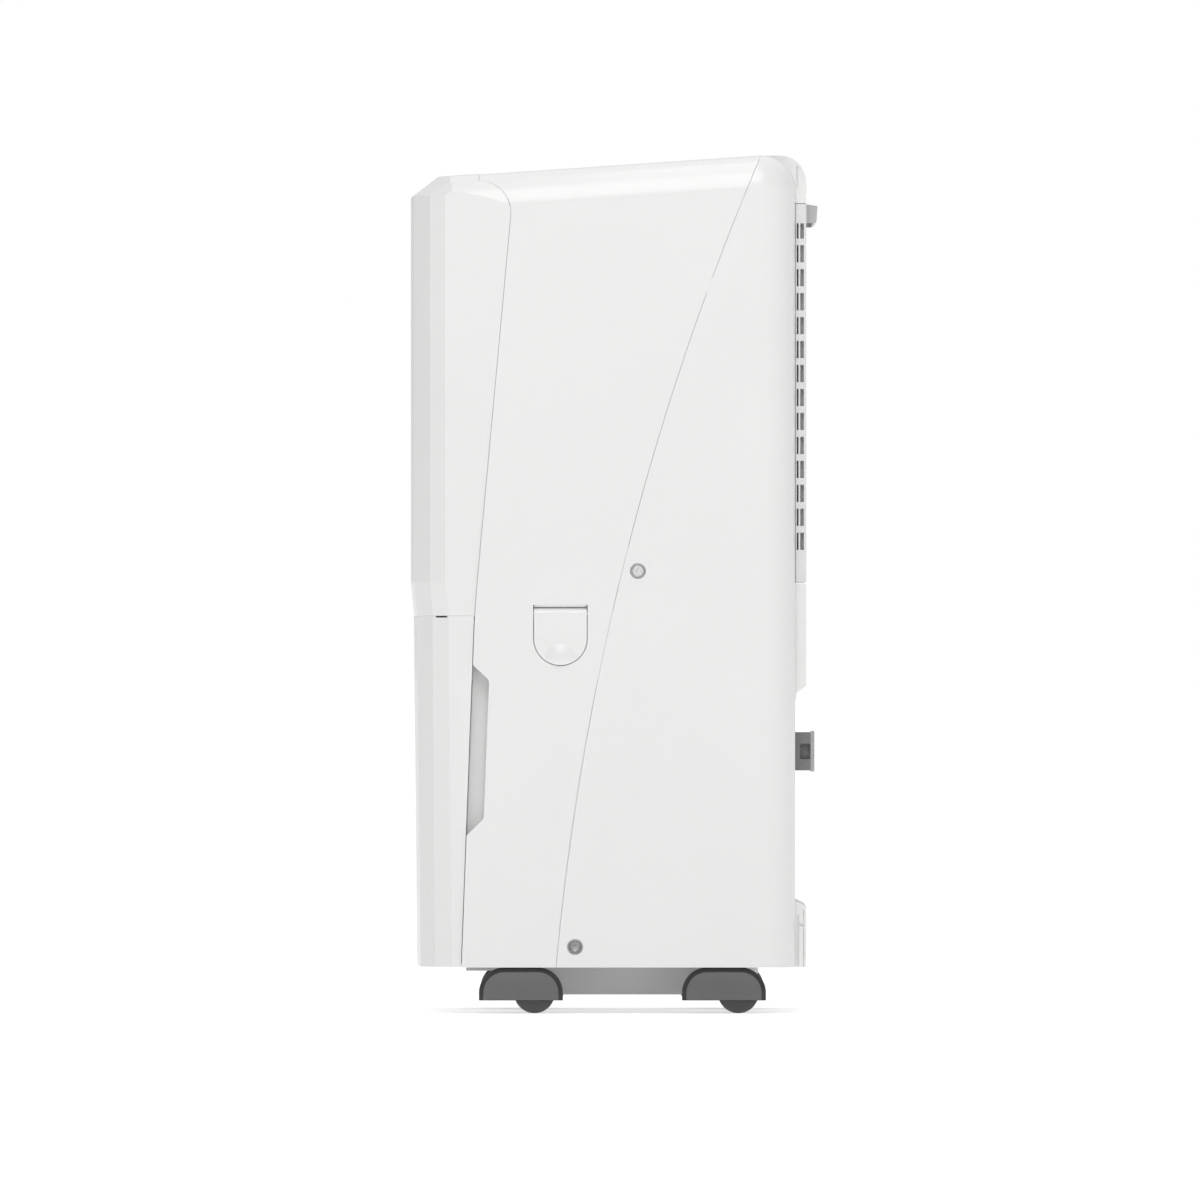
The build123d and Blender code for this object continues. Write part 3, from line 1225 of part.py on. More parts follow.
with BuildPart() as fan_motor:
    with Locations(Location((FAN_X, SCROLL_FRONT_Y, FAN_Z), (90, 0, 0))):
        Cylinder(MOTOR_RADIUS, MOTOR_LENGTH, align=STANDING)
    fillet(edges().group_by(Axis.Y)[0], MOTOR_ROUND)
    with Locations(Location((FAN_X, SCROLL_FRONT_Y, FAN_Z), (90, 0, 0))):
        Cylinder(SHAFT_RADIUS, 2 * (WHEEL_FRONT_Y + HUB_LENGTH - SCROLL_FRONT_Y))
save(fan_motor, "fan_motor")


def insert_plate(center_y, width, length):
    """Flush insert for an opening in the top, with a rim that bears on the wall from below."""
    with BuildPart() as plate:
        with BuildSketch(top_plane(center_y)):
            RectangleRounded(
                width - 2 * OPENING_GAP, length - 2 * OPENING_GAP, OPENING_CORNER - OPENING_GAP
            )
        extrude(amount=-insert_depth)
        with BuildSketch(top_plane(center_y, WALL)):
            RectangleRounded(width + 2 * FLANGE, length + 2 * FLANGE, OPENING_CORNER + FLANGE)
        extrude(amount=-FLANGE_THICK)
    return plate.part


# Air outlet grille in the top
OUTLET_SLOT = (44.0, 4.6)
OUTLET_SLOT_ROUND = 1.5
OUTLET_GRID = (48.0, 8.2, 5, 7)
outlet_plate = insert_plate(OUTLET_Y, OUTLET_WIDTH, OUTLET_LENGTH)
with BuildPart() as outlet_grille:
    add(outlet_plate)
    with BuildSketch(top_plane(OUTLET_Y)):
        with GridLocations(*OUTLET_GRID):
            RectangleRounded(*OUTLET_SLOT, OUTLET_SLOT_ROUND)
    extrude(amount=MARGIN, both=True, mode=Mode.SUBTRACT)
save(outlet_grille, "outlet_grille")

# Control panel with its display window, buttons and board
BUTTONS = {
    "power": -102.0,
    "mode": -76.0,
    "fan_speed": -50.0,
    "timer": 50.0,
    "humidity_down": 76.0,
    "humidity_up": 102.0,
}
BUTTON_RADIUS = 7.0
BUTTON_HOLE = 7.4
BUTTON_PROUD = 0.3
BUTTON_DEPTH = 5.0
BUTTON_RIM = 8.4
BUTTON_RIM_GAP = 0.4
BUTTON_RIM_THICK = 1.6
DISPLAY = (72.0, 24.0)
DISPLAY_STEP = 3.0
DISPLAY_THICK = 1.6
DISPLAY_FIT = 0.15
BUTTON_EDGE = 0.8
POST_RADIUS = 2.5
SWITCH = (6.0, 6.0)
SWITCH_RISE = 2.6
CHIP = (24.0, 16.0)
CHIP_DROP = 8.0
CHIP_SPOTS = [(-60, 4), (0, -6), (70, 2)]
BOARD_DEPTH = 12.0
BOARD_THICK = 1.6
BOARD_SIZE = (236.0, 46.0)
POST_GRID = (222.0, 38.0, 2, 2)
control_plate = insert_plate(CONTROL_Y, CONTROL_WIDTH, CONTROL_LENGTH)
button_spots = [(x, 0) for x in BUTTONS.values()]
with BuildPart() as control_panel:
    add(control_plate)
    with BuildSketch(top_plane(CONTROL_Y)):
        with Locations(*button_spots):
            Circle(BUTTON_HOLE)
        Rectangle(DISPLAY[0] - 2 * DISPLAY_STEP, DISPLAY[1] - 2 * DISPLAY_STEP)
    extrude(amount=MARGIN, both=True, mode=Mode.SUBTRACT)
    with BuildSketch(top_plane(CONTROL_Y, DISPLAY_THICK)):
        Rectangle(*DISPLAY)
    extrude(amount=MARGIN, mode=Mode.SUBTRACT)
    with BuildSketch(top_plane(CONTROL_Y, insert_depth)):
        with GridLocations(*POST_GRID):
            Circle(POST_RADIUS)
    extrude(amount=-(BOARD_DEPTH - insert_depth))
save(control_panel, "control_panel")

with BuildPart() as display_window:
    with BuildSketch(top_plane(CONTROL_Y, DISPLAY_THICK)):
        Rectangle(DISPLAY[0] - 2 * DISPLAY_FIT, DISPLAY[1] - 2 * DISPLAY_FIT)
    extrude(amount=DISPLAY_THICK)
save(display_window, "display_window")

for button_name, button_x in BUTTONS.items():
    with BuildPart() as button:
        with BuildSketch(top_plane(CONTROL_Y, -BUTTON_PROUD)):
            with Locations((button_x, 0)):
                Circle(BUTTON_RADIUS)
        extrude(amount=-(BUTTON_PROUD + BUTTON_DEPTH))
        with BuildSketch(top_plane(CONTROL_Y, insert_depth + BUTTON_RIM_GAP)):
            with Locations((button_x, 0)):
                Circle(BUTTON_RIM)
        extrude(amount=-BUTTON_RIM_THICK)
        fillet(edges().sort_by(Axis.Z).filter_by(GeomType.CIRCLE)[-1], BUTTON_EDGE)
    save(button, f"button_{button_name}")

with BuildPart() as control_board:
    with BuildSketch(top_plane(CONTROL_Y, BOARD_DEPTH)):
        Rectangle(*BOARD_SIZE)
    extrude(amount=-BOARD_THICK)
    with BuildSketch(top_plane(CONTROL_Y, BOARD_DEPTH)):
        with Locations(*button_spots):
            Rectangle(*SWITCH)
    extrude(amount=SWITCH_RISE)
    with BuildSketch(top_plane(CONTROL_Y, BOARD_DEPTH + BOARD_THICK)):
        with Locations(*CHIP_SPOTS):
            Rectangle(*CHIP)
    extrude(amount=-CHIP_DROP)
save(control_board, "control_board")
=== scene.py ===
import bmesh
import bpy
import json
import math
from mathutils import Matrix, Vector


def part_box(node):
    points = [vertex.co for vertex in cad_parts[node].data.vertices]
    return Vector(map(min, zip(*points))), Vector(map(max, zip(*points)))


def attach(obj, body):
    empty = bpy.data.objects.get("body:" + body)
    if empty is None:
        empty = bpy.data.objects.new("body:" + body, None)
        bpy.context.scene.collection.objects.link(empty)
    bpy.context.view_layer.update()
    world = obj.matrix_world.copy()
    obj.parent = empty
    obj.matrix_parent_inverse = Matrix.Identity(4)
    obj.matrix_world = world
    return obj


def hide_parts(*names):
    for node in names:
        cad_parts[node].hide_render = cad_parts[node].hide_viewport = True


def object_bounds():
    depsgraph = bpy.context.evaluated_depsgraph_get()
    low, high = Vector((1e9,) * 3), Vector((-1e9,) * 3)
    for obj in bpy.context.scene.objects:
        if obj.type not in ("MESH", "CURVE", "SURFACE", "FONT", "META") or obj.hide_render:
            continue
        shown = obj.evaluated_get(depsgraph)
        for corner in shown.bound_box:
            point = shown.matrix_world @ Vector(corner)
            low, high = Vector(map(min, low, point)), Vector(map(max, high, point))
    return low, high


# Dehumidifier seen square on from its right-hand side, with every surface finished.
# All lengths are metres in the part's own frame: front at -Y, right-hand side at +X.

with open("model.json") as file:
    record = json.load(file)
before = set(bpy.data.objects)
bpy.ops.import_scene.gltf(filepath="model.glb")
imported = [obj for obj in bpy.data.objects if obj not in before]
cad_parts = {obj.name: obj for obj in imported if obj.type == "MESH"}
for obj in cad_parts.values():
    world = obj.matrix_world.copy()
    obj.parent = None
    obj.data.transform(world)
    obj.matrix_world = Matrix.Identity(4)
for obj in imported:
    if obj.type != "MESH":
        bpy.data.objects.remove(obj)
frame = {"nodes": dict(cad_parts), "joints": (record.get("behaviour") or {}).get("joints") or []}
nodes = frame["nodes"]
cad_low, cad_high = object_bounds()

MM = 0.001
PHOTO_SIDE = 1200                 # pixels of the square picture
PHOTO_SCALE = 0.718 * MM          # metres a pixel at the near side wall
PHOTO_ORIGIN = (613.75, 1013.8)   # pixel under the part's origin, at floor height
CAMERA_DISTANCE = 25.0            # from the near side wall
SENSOR = 36.0                     # width of the camera's sensor, in millimetres
ROOM_LIGHT = 0.12                 # light from all round, against a white backdrop of 1
FRONT_LIGHT = 0.0                 # the same from straight in front of the part
BACK_LIGHT = 0.50                 # added from the backdrop behind the part
SKY_LIGHT = 0.65                  # added from overhead
FRONT_BAND = (-1.0, 0.1)          # directions along Y, Z and X between which each light changes
SKY_BAND = (0.30, 0.85)
BACK_BAND = (-0.2, -0.7)
FLOOR_GLOW = 0.44                 # the floor's own light
FLOOR_SIZE = 160.0
FLOOR_CELLS = 8
SOFTBOXES = (                     # name, place, target, size, power in watts
    ("key", (2.5, 0.0, 2.5), (0, 0, 0.4), (1.2, 2.4), 33),
    ("overhead", (0.3, 0.0, 2.4), (0.1, 0, 0.6), (0.3, 1.8), 5),
)

CORNERS = ("front_left", "front_right", "rear_left", "rear_right")
BUTTONS = ("power", "mode", "fan_speed", "timer", "humidity_down", "humidity_up")


def tone(value):
    """Linear light of an 8-bit grey."""
    level = value / 255
    return ((level + 0.055) / 1.055) ** 2.4


def grey(value, warm=0.0):
    """Linear colour of an 8-bit grey, a little warm or cool."""
    light = tone(value)
    return (light * (1 + warm), light, light * (1 - warm), 1.0)


# Materials


class Shade:
    """A material with its node tree at hand."""

    def __init__(self, name):
        self.material = bpy.data.materials.new(name)
        self.material.use_nodes = True
        self.tree = self.material.node_tree
        self.surface = self.tree.nodes["Principled BSDF"]
        self.place = self.node("ShaderNodeTexCoord").outputs["Object"]

    def node(self, kind, **values):
        made = self.tree.nodes.new(kind)
        for key, value in values.items():
            setattr(made, key, value)
        return made

    def link(self, source, target):
        self.tree.links.new(source, target)

    def noise(self, scale, detail=3.0, stretch=(1, 1, 1)):
        mapping = self.node("ShaderNodeMapping")
        mapping.inputs["Scale"].default_value = stretch
        self.link(self.place, mapping.inputs["Vector"])
        made = self.node("ShaderNodeTexNoise")
        made.inputs["Scale"].default_value = scale
        made.inputs["Detail"].default_value = detail
        self.link(mapping.outputs["Vector"], made.inputs["Vector"])
        return made.outputs["Fac"]

    def ramp(self, source, stops):
        made = self.node("ShaderNodeValToRGB")
        elements = made.color_ramp.elements
        while len(elements) < len(stops):
            elements.new(0.5)
        for element, (position, color) in zip(elements, stops):
            element.position = position
            element.color = color
        self.link(source, made.inputs["Fac"])
        return made.outputs["Color"]

    def range(self, source, low, high, start=0.3, end=0.7):
        made = self.node("ShaderNodeMapRange")
        made.inputs["From Min"].default_value = start
        made.inputs["From Max"].default_value = end
        made.inputs["To Min"].default_value = low
        made.inputs["To Max"].default_value = high
        self.link(source, made.inputs["Value"])
        return made.outputs["Result"]

    def mix(self, factor, first, second):
        made = self.node("ShaderNodeMix", data_type="RGBA")
        self.link(factor, made.inputs["Factor"])
        for socket, value in ((made.inputs[6], first), (made.inputs[7], second)):
            if isinstance(value, tuple):
                socket.default_value = value
            else:
                self.link(value, socket)
        return made.outputs[2]

    def axis(self, name):
        made = self.node("ShaderNodeSeparateXYZ")
        self.link(self.place, made.inputs["Vector"])
        return made.outputs[name]

    def bump(self, source, strength, depth):
        made = self.node("ShaderNodeBump")
        made.inputs["Strength"].default_value = strength
        made.inputs["Distance"].default_value = depth
        self.link(source, made.inputs["Height"])
        before = self.surface.inputs["Normal"].links
        if before:
            self.link(before[0].from_socket, made.inputs["Normal"])
        self.link(made.outputs["Normal"], self.surface.inputs["Normal"])

    def set(self, **values):
        for name, value in values.items():
            self.surface.inputs[name.replace("_", " ")].default_value = value

    def color(self, source):
        self.link(source, self.surface.inputs["Base Color"])

    def roughness(self, source):
        self.link(source, self.surface.inputs["Roughness"])


CLOUD_SCALE = 9.0                 # patches of slightly different tone, across a metre
GLOSS_SCALE = 25.0
GRAIN_SCALE = 1100.0
GRAIN_DEPTH = 0.08 * MM


def scaled(color, share):
    """Colour with its three channels multiplied, none above 1."""
    return tuple(min(1.0, channel * share) for channel in color[:3]) + (1.0,)


def moulded(name, color, rough=0.36, grain=0.10, variation=0.025, coat=0.0):
    """Moulded plastic: faint cloudy tone, fine spark-eroded grain and uneven gloss."""
    shade = Shade(name)
    low, high = scaled(color, 1 - variation), scaled(color, 1 + variation)
    shade.color(shade.ramp(shade.noise(CLOUD_SCALE, 4.0), [(0.3, low), (0.7, high)]))
    shade.roughness(shade.range(shade.noise(GLOSS_SCALE, 2.0), rough - 0.02, rough + 0.03))
    shade.bump(shade.noise(GRAIN_SCALE, 2.0), grain, GRAIN_DEPTH)
    shade.set(Coat_Weight=coat, Coat_Roughness=0.12)
    return shade


TARNISH_SCALE = 70.0
DRAWN_SCALE = 160.0               # gloss of the drawn lines
LINE_SCALE = 300.0                # their relief
LINE_DEPTH = 0.1 * MM


def brushed(name, color, rough=0.3, metal=1.0, stretch=(1, 40, 40)):
    """Metal with drawn lines along one axis and blotchy tarnish."""
    shade = Shade(name)
    dark = scaled(color, 0.8)
    shade.color(shade.ramp(shade.noise(TARNISH_SCALE, 5.0), [(0.35, dark), (0.65, color)]))
    shade.roughness(shade.range(shade.noise(DRAWN_SCALE, 4.0, stretch), rough - 0.1, rough + 0.15))
    shade.bump(shade.noise(LINE_SCALE, 2.0, stretch), 0.12, LINE_DEPTH)
    shade.set(Metallic=metal)
    return shade


TONE_EDGE = 0.1 * MM


def two_tone(name, body, outer, edge):
    """Moulded plastic whose parts further back than edge along Y have a second colour."""
    shade = moulded(name, body, rough=0.42, grain=0.15, variation=0.03)
    beyond = shade.range(shade.axis("Y"), 0.0, 1.0, edge, edge + TONE_EDGE)
    front = shade.surface.inputs["Base Color"].links[0].from_socket
    shade.color(shade.mix(beyond, front, outer))
    return shade


THREAD_DEPTH = 0.4 * MM
WAVE_UNIT = 20                    # Blender's bands repeat every 2 pi / 20 of a metre at scale 1


def woven(name, thread, painted_opening_shade, pitch):
    """Plain woven net, drawn as an opaque sheet: threads along X and Z, with painted shade of the dim
    inside filling the openings between them.
    """
    shade = Shade(name)
    waves = []
    for direction in ("X", "Z"):
        wave = shade.node("ShaderNodeTexWave", wave_type="BANDS", bands_direction=direction)
        wave.inputs["Scale"].default_value = 2 * math.pi / (WAVE_UNIT * pitch)
        wave.inputs["Distortion"].default_value = 0.4
        wave.inputs["Detail"].default_value = 1.0
        shade.link(shade.place, wave.inputs["Vector"])
        waves.append(wave.outputs["Fac"])
    top = shade.node("ShaderNodeMath", operation="MAXIMUM")
    shade.link(waves[0], top.inputs[0])
    shade.link(waves[1], top.inputs[1])
    # the openings between the threads get painted shade, not holes
    shade.color(shade.ramp(top.outputs["Value"], [(0.55, painted_opening_shade), (0.85, thread)]))
    shade.roughness(shade.range(shade.noise(400.0), 0.5, 0.75))
    shade.bump(top.outputs["Value"], 0.7, THREAD_DEPTH)
    return shade


def clear_plastic(name, color, rough, through):
    """Translucent plastic with a faint frost and flow marks."""
    shade = moulded(name, color, rough=rough, grain=0.06, variation=0.03)
    shade.set(Transmission_Weight=through, IOR=1.49)
    return shade


def glowing(name, color, strength):
    """Lit segment or lamp with a slightly uneven glow."""
    shade = Shade(name)
    dim = scaled(color, 0.75)
    lit = shade.ramp(shade.noise(900.0, 1.0), [(0.3, dim), (0.7, color)])
    shade.color(lit)
    shade.link(lit, shade.surface.inputs["Emission Color"])
    shade.set(Emission_Strength=strength, Roughness=0.4)
    return shade


NET_PITCH = 1.6 * MM
BRACKET_PLATE_Y = 141.8 * MM      # the bracket's outer plate is paler
TAB_Y = 138.9 * MM                # the grille's pull tab is darker

white = moulded("casing", grey(236, 0.004), rough=0.3, grain=0.05, variation=0.008, coat=0.2)
grille_white = moulded("grille", grey(226, 0.004), rough=0.4, grain=0.1, variation=0.02)
control_grey = moulded("control_face", grey(150, -0.01), rough=0.3, grain=0.16, variation=0.03, coat=0.2)
button_white = moulded("button", grey(240), rough=0.3, grain=0.1, coat=0.3)
base_grey = moulded("base", grey(200), rough=0.5, grain=0.3, variation=0.06)
wheel_dark = moulded("wheel", grey(84), rough=0.5, grain=0.25, variation=0.1)
black = moulded("gland", grey(38), rough=0.55, grain=0.3, variation=0.08)
inner = moulded("inner", grey(190), rough=0.5, grain=0.2, variation=0.04)
foam = moulded("foam", grey(232, 0.01), rough=0.8, grain=0.9, variation=0.05)
frame_grey = moulded("filter_frame", grey(214), rough=0.5, grain=0.2, variation=0.05)
rubber = moulded("rubber", grey(36), rough=0.75, grain=0.4, variation=0.1)
enamel = moulded("compressor_paint", grey(30), rough=0.25, grain=0.25, variation=0.15, coat=0.6)
board = moulded("board", (0.02, 0.12, 0.05, 1.0), rough=0.4, grain=0.3, variation=0.1, coat=0.4)
display = moulded("display", grey(16), rough=0.12, grain=0.02, variation=0.1, coat=1.0)
window = clear_plastic("level_window", (0.55, 0.66, 0.72, 1.0), 0.16, 0.55)
tub = clear_plastic("tub", (0.86, 0.9, 0.92, 1.0), 0.32, 0.35)
steel = brushed("zinc", (0.62, 0.62, 0.64, 1.0))
pale_screw = moulded("white_screw", grey(252), rough=0.25, grain=0.05, variation=0.01)
fins = brushed("fin", (0.72, 0.73, 0.75, 1.0), rough=0.35, stretch=(1, 1, 60))
copper = brushed("copper", (0.75, 0.36, 0.2, 1.0), rough=0.3)
motor = brushed("motor", (0.42, 0.42, 0.44, 1.0), rough=0.4)
# grey(60) is the painted shade in the net's openings
net = woven("filter_net", grey(150), grey(60), NET_PITCH)
# the hoods' dark grey is painted shade of their rounded rims; the paler covers carry the cheeks' own grey
hood_painted_shade = moulded("caster_hood", grey(58), rough=0.42, grain=0.18, variation=0.05)
cover_grey = moulded("hood_cover", grey(116), rough=0.45, grain=0.15, variation=0.04)
bracket = two_tone("bracket", grey(124), grey(172), BRACKET_PLATE_Y)
grille_tab = two_tone("grille_tab", grey(226), grey(182), TAB_Y)
digit = glowing("digit", (0.65, 0.9, 1.0, 1.0), 2.2)
lamp = glowing("lamp", (0.35, 0.9, 0.45, 1.0), 1.2)
print_grey = moulded("print", grey(88), rough=0.6, grain=0.05, variation=0.06)

finishes = {
    white: ["front_panel", "front_shell", "rear_shell", "bucket_front", "drain_flap"],
    grille_white: ["outlet_grille"],
    grille_tab: ["intake_grille"],
    control_grey: ["control_panel"],
    button_white: [f"button_{name}" for name in BUTTONS] + ["bucket_handle"],
    display: ["display_window"],
    window: ["level_window"],
    tub: ["bucket_tub", "bucket_lid"],
    foam: ["bucket_float"],
    base_grey: ["base_pan"],
    hood_painted_shade: [f"caster_hood_{corner}" for corner in CORNERS],
    wheel_dark: [f"caster_wheels_{corner}" for corner in CORNERS],
    steel: [f"caster_axle_{corner}" for corner in CORNERS] + ["casing_screws", "drain_flap_pin"],
    bracket: ["cord_bracket"],
    black: ["cord_gland", "bucket_sensor"],
    frame_grey: ["filter_frame"],
    net: ["filter_mesh"],
    fins: ["evaporator", "condenser", "run_capacitor"],
    copper: ["suction_pipe", "discharge_pipe", "capillary_tube"],
    enamel: ["compressor"],
    rubber: ["compressor_mounts"],
    inner: ["partition", "drain_pan", "drain_spigot", "fan_scroll", "blower_wheel"],
    motor: ["fan_motor"],
    board: ["control_board"],
}
for shade, names in finishes.items():
    for name in names:
        mesh = nodes[name].data
        mesh.materials.clear()
        mesh.materials.append(shade.material)


WELD_GAP = 0.01 * MM
SHARP_ANGLE = 32                  # edges sharper than this many degrees are rounded
FACE_WEIGHT = 90                  # how far large faces lead the shading


def soften(name, width):
    """Round a CAD node's sharp edges for the light to catch, without touching its mesh."""
    node = nodes[name]
    node.data.polygons.foreach_set("use_smooth", [True] * len(node.data.polygons))
    weld = node.modifiers.new("weld", "WELD")
    weld.merge_threshold = WELD_GAP
    bevel = node.modifiers.new("edges", "BEVEL")
    bevel.width = width
    bevel.segments = 2
    bevel.limit_method = "ANGLE"
    bevel.angle_limit = math.radians(SHARP_ANGLE)
    bevel.use_clamp_overlap = True
    smooth = node.modifiers.new("normals", "WEIGHTED_NORMAL")
    smooth.weight = FACE_WEIGHT


EDGE_ROUNDS = {                   # width of each rounded edge, in millimetres
    "base_pan": 0.8,
    "outlet_grille": 0.35,
    "control_panel": 0.3,
    "cord_bracket": 0.5,
    "cord_gland": 0.3,
    "bucket_lid": 0.5,
    "bucket_handle": 0.9,
    "bucket_tub": 0.4,
    "partition": 0.4,
    "drain_pan": 0.4,
    "drain_spigot": 0.4,
    "filter_frame": 0.4,
    "level_window": 0.2,
    "display_window": 0.15,
    "compressor": 0.8,
    "run_capacitor": 0.5,
    "fan_motor": 0.5,
}
for corner in CORNERS:
    EDGE_ROUNDS[f"caster_hood_{corner}"] = 0.5
    EDGE_ROUNDS[f"caster_wheels_{corner}"] = 0.3
for button in BUTTONS:
    EDGE_ROUNDS[f"button_{button}"] = 0.15
for name, width in EDGE_ROUNDS.items():
    soften(name, width * MM)

# Pieces


def piece(name, shape, body, shade):
    """Turn finished mesh work into an object that rides on a body."""
    bmesh.ops.recalc_face_normals(shape, faces=shape.faces)
    mesh = bpy.data.meshes.new(name)
    shape.to_mesh(mesh)
    shape.free()
    mesh.materials.append(shade.material)
    made = bpy.data.objects.new(name, mesh)
    bpy.context.scene.collection.objects.link(made)
    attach(made, body)
    return made


def prism(shape, outline, frame_at, depth, bevel=0.0):
    """Add an extruded outline: (u, v) points in the plane of frame_at, raised along its third axis."""
    corners = [shape.verts.new(frame_at @ Vector((u, v, 0))) for u, v in outline]
    base = shape.faces.new(corners)
    raised = bmesh.ops.extrude_face_region(shape, geom=[base])["geom"]
    tops = [item for item in raised if isinstance(item, bmesh.types.BMVert)]
    bmesh.ops.translate(shape, verts=tops, vec=frame_at.to_3x3() @ Vector((0, 0, depth)))
    if bevel:
        rim = {edge for vert in tops for edge in vert.link_edges if edge.other_vert(vert) in tops}
        bmesh.ops.bevel(shape, geom=list(rim), offset=bevel, segments=2, affect="EDGES", profile=0.5)


def placed(origin, across, up):
    """Matrix of a plane at origin with the given u and v directions."""
    across, up = across.normalized(), up.normalized()
    matrix = Matrix((across, up, across.cross(up))).transposed().to_4x4()
    matrix.translation = origin
    return matrix


def ring_points(radius, count, start=0.0, turn=2 * math.pi, centre=(0, 0)):
    """Points round a circle or part of one."""
    steps = count if turn >= 2 * math.pi else count - 1
    points = []
    for i in range(count):
        angle = start + turn * i / steps
        points.append((centre[0] + radius * math.cos(angle), centre[1] + radius * math.sin(angle)))
    return points


FACE_DEPTH = 0.05 * MM            # points this near the furthest one belong to its face


def face_centre(name, normal):
    """Middle of a node's face that lies furthest along a direction."""
    points = [vertex.co for vertex in nodes[name].data.vertices]
    reach = max(point.dot(normal) for point in points)
    near = [point for point in points if point.dot(normal) > reach - FACE_DEPTH]
    return sum(near, Vector()) / len(near)


press = next(joint for joint in frame["joints"] if joint["name"] == "power_press")
top_normal = -Vector(press["axis"])
top_back = Vector((1, 0, 0)).cross(top_normal) * -1


def on_top(name):
    """Plane on the upper face of a piece of the control panel."""
    return placed(face_centre(name, top_normal), Vector((1, 0, 0)), top_back)


# Seven bars of a digit, as (u, v) middles and whether they stand upright, in bar lengths
BARS = {
    "a": (0, 1, False),
    "b": (0.5, 0.5, True),
    "c": (0.5, -0.5, True),
    "d": (0, -1, False),
    "e": (-0.5, -0.5, True),
    "f": (-0.5, 0.5, True),
    "g": (0, 0, False),
}
DIGIT_BARS = {"5": "acdfg", "0": "abcdef"}
BAR_LENGTH = 5.6 * MM
BAR_WIDTH = 0.9 * MM
BAR_GAP = 0.25 * MM               # left free at each end of a bar
DIGIT_PITCH = 10.0 * MM
INK = 0.08 * MM                   # rise of printed and lit signs


def digits():
    """Lit humidity figure in the display window."""
    shape = bmesh.new()
    plane = on_top("display_window")
    half, side = BAR_LENGTH / 2 - BAR_GAP, BAR_WIDTH / 2
    neck = half - side
    bar = [(-half, 0), (-neck, -side), (neck, -side), (half, 0), (neck, side), (-neck, side)]
    for place, figure in ((-DIGIT_PITCH / 2, "5"), (DIGIT_PITCH / 2, "0")):
        for key in DIGIT_BARS[figure]:
            u, v, upright = BARS[key]
            points = [(-y, x) if upright else (x, y) for x, y in bar]
            moved = [(x + place + u * BAR_LENGTH, y + v * BAR_LENGTH) for x, y in points]
            prism(shape, moved, plane, INK)
    piece("display_digits", shape, "cabinet", digit)


MARK_RADIUS = 3.2 * MM
STROKE = 0.55 * MM
POWER_ARC = (22, math.radians(130), math.radians(280))   # points, start and turn
DOT_RADIUS = 0.75 * MM
DOT_PITCH = 2.2 * MM
BLADE_REACH = 1.7 * MM
BLADE_RADIUS = 1.25 * MM
TICK_REACH = 0.85 * MARK_RADIUS
TICK_RADIUS = 0.32 * MM
HAND_LENGTHS = (1.9 * MM, 2.2 * MM)
ARROW_HALF = 2.6 * MM
ARROW_FOOT = 1.5 * MM


def around(count, reach):
    """Evenly spaced points round the middle of a mark."""
    turns = [part * 2 * math.pi / count for part in range(count)]
    return [(reach * math.cos(turn), reach * math.sin(turn)) for turn in turns]


def power_mark():
    """Open ring with an upright stroke."""
    half = STROKE / 2
    arc = ring_points(MARK_RADIUS, *POWER_ARC)
    back = ring_points(MARK_RADIUS - STROKE, *POWER_ARC)[::-1]
    return [arc + back, [(-half, 0), (half, 0), (half, MARK_RADIUS), (-half, MARK_RADIUS)]]


def mode_mark():
    """Three dots in a row."""
    return [ring_points(DOT_RADIUS, 12, centre=(step * DOT_PITCH, 0)) for step in (-1, 0, 1)]


def fan_mark():
    """Three round blades."""
    return [ring_points(BLADE_RADIUS, 14, centre=tip) for tip in around(3, BLADE_REACH)]


def timer_mark():
    """Dial of twelve ticks with two hands."""
    half = STROKE / 2
    across, up = HAND_LENGTHS
    hands = [(-half, -half), (across, -half), (across, half), (half, half), (half, up), (-half, up)]
    return [ring_points(TICK_RADIUS, 8, centre=tick) for tick in around(12, TICK_REACH)] + [hands]


def arrow_mark(point):
    """Triangle that points rearward at 1 or forward at -1."""
    foot = -ARROW_FOOT * point
    return [[(-ARROW_HALF, foot), (ARROW_HALF, foot), (0, ARROW_HALF * point)]]


MARKS = {
    "power": power_mark(),
    "mode": mode_mark(),
    "fan_speed": fan_mark(),
    "timer": timer_mark(),
    "humidity_down": arrow_mark(-1),
    "humidity_up": arrow_mark(1),
}


def button_mark(name):
    """Generic sign on a button's cap."""
    shape = bmesh.new()
    plane = on_top(f"button_{name}")
    for outline in MARKS[name]:
        prism(shape, outline, plane, INK)
    piece(f"mark_{name}", shape, f"button_{name}", print_grey)


LAMP_BACK = 12.5 * MM             # from a button's middle to its lamp
LAMP_STEPS = ((1.3 * MM, 0.0), (0.9 * MM, 0.22 * MM))   # radius and height of its two steps
LAMP_RISE = 0.25 * MM
LAMP_EDGE = 0.1 * MM


def lamps():
    """Small stepped lamp behind each button."""
    shape = bmesh.new()
    panel = on_top("control_panel")
    for name in BUTTONS:
        middle = face_centre(f"button_{name}", top_normal)
        local = panel.inverted() @ middle
        for radius, height in LAMP_STEPS:
            points = ring_points(radius, 16, centre=(local.x, local.y + LAMP_BACK))
            prism(shape, points, panel @ Matrix.Translation((0, 0, height)), LAMP_RISE, LAMP_EDGE)
    piece("panel_lamps", shape, "cabinet", lamp)


LEVEL_STEPS = 10
LONG_MARK = 6.5 * MM              # every third graduation
SHORT_MARK = 3.2 * MM
MARK_HEIGHT = 0.7 * MM
MARK_X = -8 * MM
MARK_SUNK = 0.02 * MM
EDGE_BAND = 1 * MM                # points this near the window's ends belong to them


